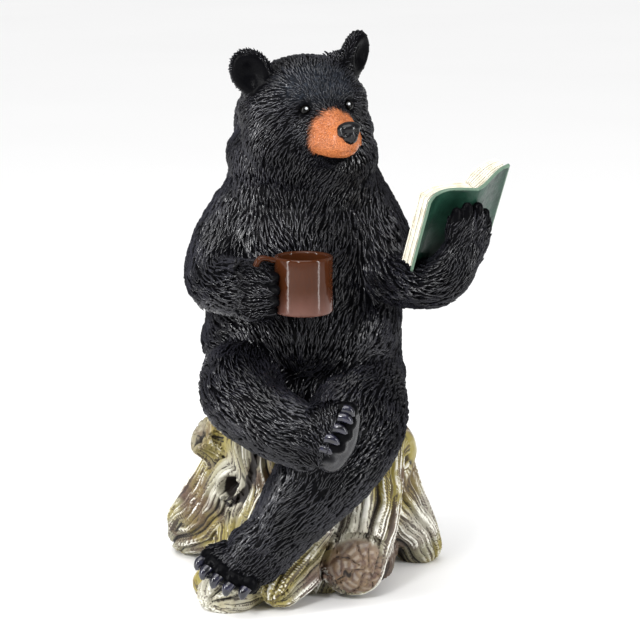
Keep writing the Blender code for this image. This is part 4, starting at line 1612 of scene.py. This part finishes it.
@dataclass
class TreeStump:
    """The weathered stump with its flared roots, knots and cut branch."""

    trunk: Sequence[Station] = ((0, 8, 6, 34), (0, 8, 24, 32), (0, 8, 38, 31), (0, 8, 50, 31))
    branch: Sequence[Station] = (
        (-24, 10, 40, 9.5),
        (-31, 6, 47, 7.4),
        (-38.1, 2, 52.6, 6.8),
        (-40, 1, 54, 6.8),
    )
    roots: Strands = (
        ((-16, 12, 40, 17), (-30, 17, 26, 13.5), (-42, 24, 12.5, 9.5)),
        ((-20, 2, 34, 15), (-33, 13, 17, 10.5), (-43, 25, 7.5, 8)),
        ((20, 12, 43, 18), (31, 14, 27, 13), (42.5, 18, 6.5, 9.2)),
        ((22, -6, 44, 14), (22, -20, 28, 12), (17.5, -27, 12, 11)),
        ((8, -14, 30, 12), (1, -30, 15, 9), (-8, -41, 7, 6.5)),
        ((-8, -16, 24, 14), (-19, -32, 9, 10), (-27, -40, 6, 8.5)),
        ((-12, 24, 36, 15), (-20, 36, 16, 11), (-25, 43, 6, 7)),
        ((14, 26, 36, 15), (20, 36, 16, 11), (24, 43, 6, 7)),
    )
    masses: Sequence[tuple[float, ...]] = (
        (-27, 10, 40, 9.5, 10, 13),
        (-26.5, -39, 5, 11, 10, 8),
        (-33, -17, 2, 7, 15, 7),
        (32, 6, 44, 9, 9, 12),
        (-44, 27, 7, 7.5, 8, 7.5),
    )
    cut_ends: Sequence[CutEnd] = (
        CutEnd((-38.6, 1.8, 53), (-0.76, -0.41, 0.5), 7.4, 2.6, 3, 0.25),
        CutEnd((19, -36, 12), (0, -1, 0), 10.5, 0.4, 9, 1.0, (3.6, 0.8)),
    )
    knot_hole: Place = (-27.4, -9, 35.3)
    crevice: Sequence[Place] = (
        (-18.2, -18.3, 52),
        (-18.5, -18, 45.3),
        (-20, -17, 39.8),
        (-22.5, -14.8, 33.6),
        (-27, -9.4, 29),
    )
    washes: Sequence[tuple[str, float, float, float, float]] = (
        ("white", -28, -10, 36, 12),
        ("white", -28, -42, 5, 14),
        ("white", 18, -30, 28, 12),
        ("white", 40, 12, 18, 11),
        ("brown", -38, 8, 24, 13),
        ("brown", 6, -38, 8, 9),
        ("brown", 33, 8, 34, 11),
        ("olive", -34, 5, 14, 10),
        ("olive", 4, -30, 16, 9),
        ("olive", 30, -6, 20, 10),
    )
    seat: float = 60
    ridge_depth: float = 2.2
    rib_depth: float = 0.8
    streak_depth: float = 0.4
    ridge_waves: tuple[float, float] = (0.14, 0.010)
    rib_waves: tuple[float, float] = (0.62, 0.03)
    streak_waves: tuple[float, float] = (1.8, 0.07)
    trunk_round: float = 34
    root_round: float = 14
    blend: float = 0.5
    triangles: int = 190000

    @staticmethod
    def course(root: Sequence[Station]) -> list[tuple[Vector, Vector, Vector, float]]:
        """The way along a root, with a side direction that is carried along it untwisted.

        Args:
            root: The root's stations.

        Returns:
            Centre and radius, direction, side direction and distance gone, for each step.
        """
        points = limb_points(root, 0.2)
        across, gone, steps = Vector((1, 0.3, 0)), 0.0, []
        for here, there in zip(points, points[1:]):
            way = (there - here).xyz
            step = way.length
            if step < 0.01:
                continue
            way.normalize()
            across = (across - way * across.dot(way)).normalized()
            steps.append((here, way, across.copy(), gone))
            gone += step
        return steps

    def lie(self, places: np.ndarray) -> tuple[np.ndarray, np.ndarray, np.ndarray]:
        """How the grain lies at each place.

        Args:
            places: Rows of x, y, z in shares of the height.

        Returns:
            Distance round the root, distance along it, and the root's number.
        """
        nearest = np.full(len(places), FAR)
        arc, along, which = np.zeros(len(places)), np.zeros(len(places)), np.zeros(len(places))
        for r, root in enumerate([self.trunk, self.branch, *self.roots]):
            steps = self.course(root)
            reaches = [np.linalg.norm(places - np.array(here.xyz), axis=1) - here.w for here, *_ in steps]
            closest = np.min(reaches, axis=0)
            total, east, north, passed = (np.zeros(len(places)) for _ in range(4))
            for (here, way, side, start), reach in zip(steps, reaches):
                weight = np.exp(-(reach - closest) / self.blend)
                out = places - np.array(here.xyz)
                x, y = out @ np.array(side), out @ np.array(way.cross(side))
                size = np.hypot(x, y) + 1e-9
                total += weight
                east += weight * x / size
                north += weight * y / size
                passed += weight * (start + out @ np.array(way))
            closer = closest < nearest
            nearest[closer] = closest[closer]
            arc[closer] = np.arctan2(north, east)[closer] * (self.trunk_round if r == 0 else self.root_round)
            along[closer] = (passed / total)[closer]
            which[closer] = r
        return arc, along, which

    def grain(self, mesh: Mesh) -> None:
        """Cuts the flowing grain: broad ridges and fine streaks down the trunk and out along each root.

        Args:
            mesh: The stump's skin, which keeps the grain's levels.
        """
        places, normals = places_of(mesh) / SHARE, normals_of(mesh)
        arc, along, which = self.lie(places)
        sway = arc + 4 * noise_at(places, 0.045) + 1.2 * noise_at(places, 0.16, 2)
        broad = self.strands(sway, along, which, *self.ridge_waves)
        middle = self.strands(sway, along, which + 20, *self.rib_waves)
        fine = self.strands(sway, along, which + 40, *self.streak_waves)
        crest = 1 - (1 - np.minimum(1, np.abs(broad) * 3.2)) ** 1.7
        rib = np.minimum(1, np.abs(middle) * 4.5) ** 0.8
        hair = np.clip(0.5 + 1.4 * fine, 0, 1)
        fade = np.clip(places[:, 2] / 5, 0.1, 1)
        lift = ((crest - 0.75) * self.ridge_depth + (rib - 0.7) * self.rib_depth) * fade
        lift += (hair - 0.5) * self.streak_depth
        move_to(mesh, (places + normals * lift[:, None]) * SHARE)
        paint_level(mesh, "crest", crest)
        paint_level(mesh, "rib", rib)
        paint_level(mesh, "streak", hair)
        paint_level(mesh, "cut", np.zeros(len(places)))
        self.wash(mesh, places)

    def wash(self, mesh: Mesh, places: np.ndarray) -> None:
        """Marks where the broad washes of colour lie.

        Args:
            mesh: The stump's skin, which keeps the levels.
            places: Its corners before the grain was cut, in shares of the height.
        """
        for name in ("white", "brown", "olive"):
            level = np.zeros(len(places))
            for _, x, y, z, size in [wash for wash in self.washes if wash[0] == name]:
                away = np.linalg.norm(places - np.array((x, y, z)), axis=1)
                level = np.maximum(level, soft_step(away, size * 1.2, size * 0.5))
            paint_level(mesh, "wash_" + name, level * 0.85)

    def knots(self, mesh: Mesh) -> None:
        """Opens the knot hole, with its raised rim, and the deep crevice beside it.

        Args:
            mesh: The stump's skin, with its grain's levels.
        """
        carver = Carver(mesh)
        x, y, z = self.knot_hole
        rim = []
        for k in range(13):
            turn = math.tau * k / 12
            rim.append((x + 3.0 * math.sin(turn), y - 4.2 * math.sin(turn) - 1, z + 5.6 * math.cos(turn)))
        carver.groove(rim, 2.2, -1.0)
        carver.press(self.knot_hole, (5, 6, 6.0), (4, 6, 0))
        carver.groove(self.crevice, 3, 3)
        places = places_of(mesh) / SHARE
        away = (places - np.array(self.knot_hole) - np.array((1.5, 2.5, 0))) / np.array((3.4, 4.2, 4.4))
        dark = soft_step(np.linalg.norm(away, axis=1), 1.15, 0.7)
        for point in limb_points([(*place, 3.0) for place in self.crevice], 0.4):
            inner = np.array(point.xyz) + np.array((0.6, 1.6, 0))
            dark = np.maximum(dark, soft_step(np.linalg.norm(places - inner, axis=1), 2.4, 1.2))
        for name in ("crest", "rib"):
            repaint(mesh, name, dark, np.zeros(len(places)))

    @staticmethod
    def strands(
        arc: np.ndarray, along: np.ndarray, which: np.ndarray, fine: float, long: float
    ) -> np.ndarray:
        """Noise drawn out along the grain.

        Args:
            arc: Distance round the root.
            along: Distance along the root.
            which: The root's number.
            fine: Waves for each share of the height across the grain.
            long: Waves along it.

        Returns:
            Levels between about -1 and 1.
        """
        spots = np.stack([arc * fine, along * long, which * 7.3], axis=1)
        return noise_at(spots, 1.0)

    def build(self) -> None:
        """Builds and dresses the stump."""
        block = BlockOut()
        for root in (self.trunk, self.branch, *self.roots):
            block.limb(root)
        for mass in self.masses:
            block.mass(mass[:3], mass[3:])
        mesh = BlockOut(skins=[block.skin(1.2, 4)]).skin(0.6, 1)
        self.grain(mesh)
        self.knots(mesh)
        for end in self.cut_ends:
            end.cut(mesh)
        places = places_of(mesh)
        places[:, 2] = np.clip(places[:, 2], 0, self.seat * SHARE)
        move_to(mesh, places)
        mesh = decimated(mesh, self.triangles)
        mesh.name = "stump_base_skin"
        smooth_shaded(mesh)
        place_piece("stump_skin", mesh, WoodFinish().material(), Slot.WOOD, "stump_base")


# The mug and the book.


@dataclass
class CoffeeMug:
    """The mug with its strap handle, its sizes in metres."""

    centre: Place = (0.2, -47.0, 117.0)
    diameter: float = 0.0200
    height: float = 0.0196
    wall: float = 0.0016
    floor: float = 0.0020
    reach: float = 0.0082
    span: float = 0.0166
    arch: float = 0.3
    thickness: float = 0.0020
    width: float = 0.0032
    handle_turn: float = 192
    handle_rings: int = 32
    handle_sides: int = 16
    foot_round: float = 0.0012
    foot_hollow: float = 0.0004
    bowl_round: float = 0.0015
    inset: float = 0.0001
    sides: int = 96

    def profile(self) -> list[tuple[float, float]]:
        """Radius and height along the mug's outline, from its foot up over the lip and down inside.

        Returns:
            The outline's points.
        """
        outer, inner = self.diameter / 2, self.diameter / 2 - self.wall
        lip, foot, bowl = self.wall / 2, self.foot_round, self.bowl_round
        line = [(self.inset, self.foot_hollow), (outer * 0.8, self.foot_hollow)]
        line += [(outer * 0.86, 0), (outer - foot, 0)]
        for k in range(1, 7):
            turn = math.pi / 2 * k / 6
            line.append((outer - foot + foot * math.sin(turn), foot - foot * math.cos(turn)))
        line += [(outer - self.inset, self.height * t) for t in (0.2, 0.4, 0.6, 0.8)]
        for k in range(9):
            turn = math.pi * k / 8
            line.append((outer - lip + lip * math.cos(turn), self.height - lip + lip * math.sin(turn)))
        line += [(inner, self.height * t) for t in (0.7, 0.45)]
        for k in range(7):
            turn = math.pi / 2 * k / 6
            line.append((inner - bowl + bowl * math.cos(turn), self.floor + bowl - bowl * math.sin(turn)))
        line.append((self.inset, self.floor))
        return line

    def cup(self) -> tuple[np.ndarray, Faces]:
        """The hollow cup, turned about its axis.

        Returns:
            Corners and faces.
        """
        turns = [math.tau * s / self.sides for s in range(self.sides)]
        drop = self.height / 2
        rings = []
        for r, z in self.profile():
            rings.append(np.array([(r * math.cos(turn), r * math.sin(turn), z - drop) for turn in turns]))
        return swept(rings)

    def handle(self) -> tuple[np.ndarray, Faces]:
        """The strap handle, a rounded band that leaves the cup's side and comes back to it.

        Returns:
            Corners and faces.
        """
        loop = []
        for k in range(self.handle_rings + 1):
            turn = math.pi * (k / self.handle_rings - 0.5)
            out = self.diameter / 2 - self.wall * 0.6 + self.reach * abs(math.cos(turn)) ** 0.6
            up = self.span / 2 * (math.sin(turn) + self.arch * max(0.0, math.sin(2 * turn)))
            slope = Vector((math.cos(turn) * self.reach, 0, math.sin(turn) * self.span / 2)).normalized()
            ring = []
            for s in range(self.handle_sides):
                a = math.tau * s / self.handle_sides
                flat = math.copysign(abs(math.cos(a)) ** 0.7, math.cos(a)) * self.thickness / 2
                wide = math.copysign(abs(math.sin(a)) ** 0.7, math.sin(a)) * self.width / 2
                ring.append(Vector((out, 0, up)) + slope * flat + Vector((0, wide, 0)))
            loop.append(np.array(ring))
        places, faces = swept(loop)
        turn = np.array(Matrix.Rotation(math.radians(self.handle_turn), 3, "Z"))
        return places @ turn.T, [face[::-1] for face in faces]

    def build(self) -> None:
        """Builds and dresses the mug."""
        mesh = mesh_from("coffee_mug_glazed", [self.cup(), self.handle()])
        mesh.transform(Matrix.Translation(share(self.centre)))
        smooth_shaded(mesh, 50)
        place_piece("mug_glazed", mesh, GlazeFinish().material(), Slot.GLAZE, "coffee_mug")


@dataclass
class OpenBook:
    """The open book: an arched cover and its two blocks of leaves, their sizes in metres."""

    centre: Place = (55.6, -40.0, 136.9)
    spine: Place = (0.173, -0.502, 0.847)
    across: Place = (-0.719, -0.653, -0.240)
    length: float = 0.0310
    half_width: float = 0.0209
    cover: float = 0.0012
    pages: float = 0.0049
    rim: float = 0.0008
    splay: float = 0.93
    rounding: float = 0.0003
    steps: int = 28
    bundles: int = 8
    bundle_share: float = 0.84
    bundle_shift: float = 0.0004

    def frame(self) -> Matrix:
        """The book's own axes: x across it, y along its spine, z out of the pages.

        Returns:
            The frame.
        """
        up = Vector(self.spine).normalized()
        across = Vector(self.across)
        across = (across - up * across.dot(up)).normalized()
        axes = Matrix((across, up, across.cross(up))).transposed().to_4x4()
        return Matrix.Translation(share(self.centre)) @ axes

    def rise(self, flat: float) -> float:
        """How far the cover's inner side stands above the spine.

        Args:
            flat: The place across, from -1 at the far edge to 1 at the near one.

        Returns:
            The rise in metres.
        """
        if flat > 0:
            return self.half_width * 0.28 * math.sin(0.78 * math.pi * flat)
        t = min(1.0, -1.12 * flat)
        return self.half_width * 0.17 * t * t * (3 - 2 * t)

    def thickness(self, flat: float) -> float:
        """How thick the leaves lie on the cover.

        Args:
            flat: The place across, from -1 to 1.

        Returns:
            The thickness in metres.
        """
        if flat > 0:
            return self.pages * (1 - 0.36 * math.sin(math.pi * flat))
        return self.pages * (1 + 0.42 * math.sin(math.pi * (-flat) ** 0.6))

    def share_of_leaves(self, part: float) -> Callable[[float], float]:
        """How high this part of the leaves' thickness lies at each place across."""
        return lambda flat: self.thickness(flat) * part

    def slab(
        self,
        low: Callable[[float], float],
        high: Callable[[float], float],
        width: float,
        length: float,
        start: float = -1,
        end: float = 1,
    ) -> tuple[np.ndarray, Faces]:
        """One layer of the book, following its arch.

        Args:
            low: Its lower side above the cover's inner side, for each place across.
            high: Its upper side.
            width: Reach of a half.
            length: Length along the spine.
            start: Where it begins, as a share of a half's width.
            end: Where it ends.

        Returns:
            Corners and faces.
        """
        rings = []
        for k in range(self.steps + 1):
            flat = start + (end - start) * k / self.steps
            x = width * self.splay * flat
            there = max(-1.0, min(1.0, flat * width / self.half_width))
            base = self.rise(there)
            half = length / 2
            down, up = low(there), high(there)
            soft = min(self.rounding, (up - down) * 0.3)
            inner = 0.9 * half
            corners = (
                (-half + soft, down), (-inner, down), (inner, down), (half - soft, down),
                (half, down + soft), (half, up - soft), (half - soft, up), (inner, up),
                (-inner, up), (-half + soft, up), (-half, up - soft), (-half, down + soft),
            )
            rings.append(np.array([(x, y, base + z) for y, z in corners]))
        return swept(rings)

    def cover_mesh(self) -> Mesh:
        """The arched cover, which keeps where its edges are, for their painted highlight.

        Returns:
            The mesh, in the book's own axes.
        """
        cover = self.slab(lambda _: -self.cover, lambda _: 0.0, self.half_width, self.length)
        mesh = mesh_from("open_book_cover", [cover])
        places = places_of(mesh)
        to_end = np.abs(places[:, 1]) / (self.length / 2)
        to_side = np.abs(places[:, 0]) / (self.half_width * self.splay)
        # Where the edges' painted highlight goes.
        paint_level(mesh, "edge", soft_step(np.maximum(to_end, to_side), 0.9, 1.0))
        return mesh

    def leaves_mesh(self) -> Mesh:
        """The two blocks of leaves, as bundles with gaps between them.

        Returns:
            The mesh, in the book's own axes.
        """
        parts = []
        for side in (-1, 1):
            for b in range(self.bundles):
                bottom = self.share_of_leaves(b / self.bundles)
                top = self.share_of_leaves((b + self.bundle_share) / self.bundles)
                shift = self.bundle_shift * math.sin(b * 2.1 + side)
                reach = self.half_width - self.rim - abs(shift)
                length = self.length - 2 * self.rim - abs(shift)
                start, end = (-1, -0.01) if side < 0 else (0.01, 1)
                parts.append(self.slab(bottom, top, reach, length, start, end))
        return mesh_from("open_book_leaves", parts)

    def build(self) -> None:
        """Builds and dresses the cover and the leaves."""
        pieces = (
            ("book_cover", self.cover_mesh(), CoverFinish().material(), ("open_book",)),
            ("book_leaves", self.leaves_mesh(), LeafFinish().material(), ()),
        )
        for name, mesh, finish, nodes in pieces:
            mesh.transform(self.frame())
            smooth_shaded(mesh, 40)
            place_piece(name, mesh, finish, Slot.COVER, *nodes)


# The studio.


@dataclass(frozen=True)
class SoftBox:
    """One soft box that looks at the figure's middle, or straight ahead where it is level.

    Its place and its size are in metres, and its power is in watts.
    """

    name: str
    place: Place
    width: float
    height: float
    power: float
    level: bool = False


@dataclass
class Studio:
    """The camera, the pale floor and the soft lights."""

    target: Place = (0.0058, 0.0, 0.095)
    distance: float = 0.850
    elevation: float = 11.5
    lens: float = 132.8
    floor_reach: float = 6.0
    floor_pale: Colour = srgb(250, 250, 250)
    floor_shade: Colour = srgb(246, 246, 246)
    world_level: float = 0.3
    sky_place: Place = (-0.1, -0.25, 1.0)
    sky_power: float = 2.5
    sky_spread: float = 56
    boxes: Sequence[SoftBox] = (
        SoftBox("left_box", (-0.95, -0.5, 0.5), 0.09, 0.6, 5),
        SoftBox("right_box", (0.9, -0.55, 0.45), 0.08, 0.6, 3),
        SoftBox("left_strip", (-0.37, -0.24, 0.22), 0.045, 0.42, 0.8, True),
        SoftBox("right_strip", (0.37, -0.24, 0.22), 0.045, 0.42, 0.7, True),
        SoftBox("key_box", (-0.25, -0.69, 0.61), 0.12, 0.12, 3),
    )

    def camera(self) -> None:
        """Sets the camera at the photograph's angle."""
        tilt = math.radians(self.elevation)
        back = Vector((0, -math.cos(tilt), math.sin(tilt)))
        lens = bpy.data.cameras.new("camera")
        lens.lens = self.lens
        lens.clip_end = 20
        view = new_object("camera", lens)
        view.location = Vector(self.target) + back * self.distance
        view.rotation_euler = (-back).to_track_quat("-Z", "Y").to_euler()
        bpy.context.scene.camera = view

    def light(self, box: SoftBox) -> None:
        """Adds one soft box.

        Args:
            box: The box.
        """
        lamp = bpy.data.lights.new(box.name, "AREA")
        lamp.shape = "RECTANGLE"
        lamp.size, lamp.size_y = box.width, box.height
        lamp.energy = box.power
        thing = new_object(box.name, lamp)
        thing.location = box.place
        way = Vector(self.target) - Vector(box.place)
        if box.level:
            way.z = 0
        thing.rotation_euler = way.to_track_quat("-Z", "Y").to_euler()

    def sky_lamp(self) -> None:
        """Adds one wide far lamp that lights the whole floor alike."""
        lamp = bpy.data.lights.new("sky_lamp", "SUN")
        lamp.energy = self.sky_power
        lamp.angle = math.radians(self.sky_spread)
        thing = new_object("sky_lamp", lamp)
        thing.rotation_euler = (-Vector(self.sky_place)).to_track_quat("-Z", "Y").to_euler()

    def floor(self) -> None:
        """Lays the pale floor."""
        size = self.floor_reach
        corners = np.array([(-size, -size, 0), (size, -size, 0), (size, size, 0), (-size, size, 0)])
        floor = new_object("floor", mesh_from("floor", [(corners, [(0, 1, 2, 3)])]))
        tree = Tree("pale_floor")
        colour = tree.mix(tree.noise(3, 2), self.floor_pale, self.floor_shade)
        floor.data.materials.append(tree.finish(colour, 0.6))

    def surround(self) -> None:
        """Lights the scene evenly from all round."""
        world = bpy.data.worlds.new("studio")
        bpy.context.scene.world = world
        world.use_nodes = True
        background = world.node_tree.nodes["Background"]
        background.inputs[0].default_value = (1, 1, 1, 1)
        background.inputs[1].default_value = self.world_level

    def build(self) -> None:
        """Builds the floor, the lights and the camera."""
        self.camera()
        self.floor()
        self.surround()
        for box in self.boxes:
            self.light(box)
        self.sky_lamp()
        bpy.context.scene.view_settings.view_transform = "Standard"


def main() -> None:
    """Builds the pieces in order, round the solids."""
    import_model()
    Studio().build()
    BearFigure().build()
    TreeStump().build()
    CoffeeMug().build()
    OpenBook().build()


if __name__ == "__main__":
    logging.basicConfig(level=logging.INFO, format="%(message)s")
    main()
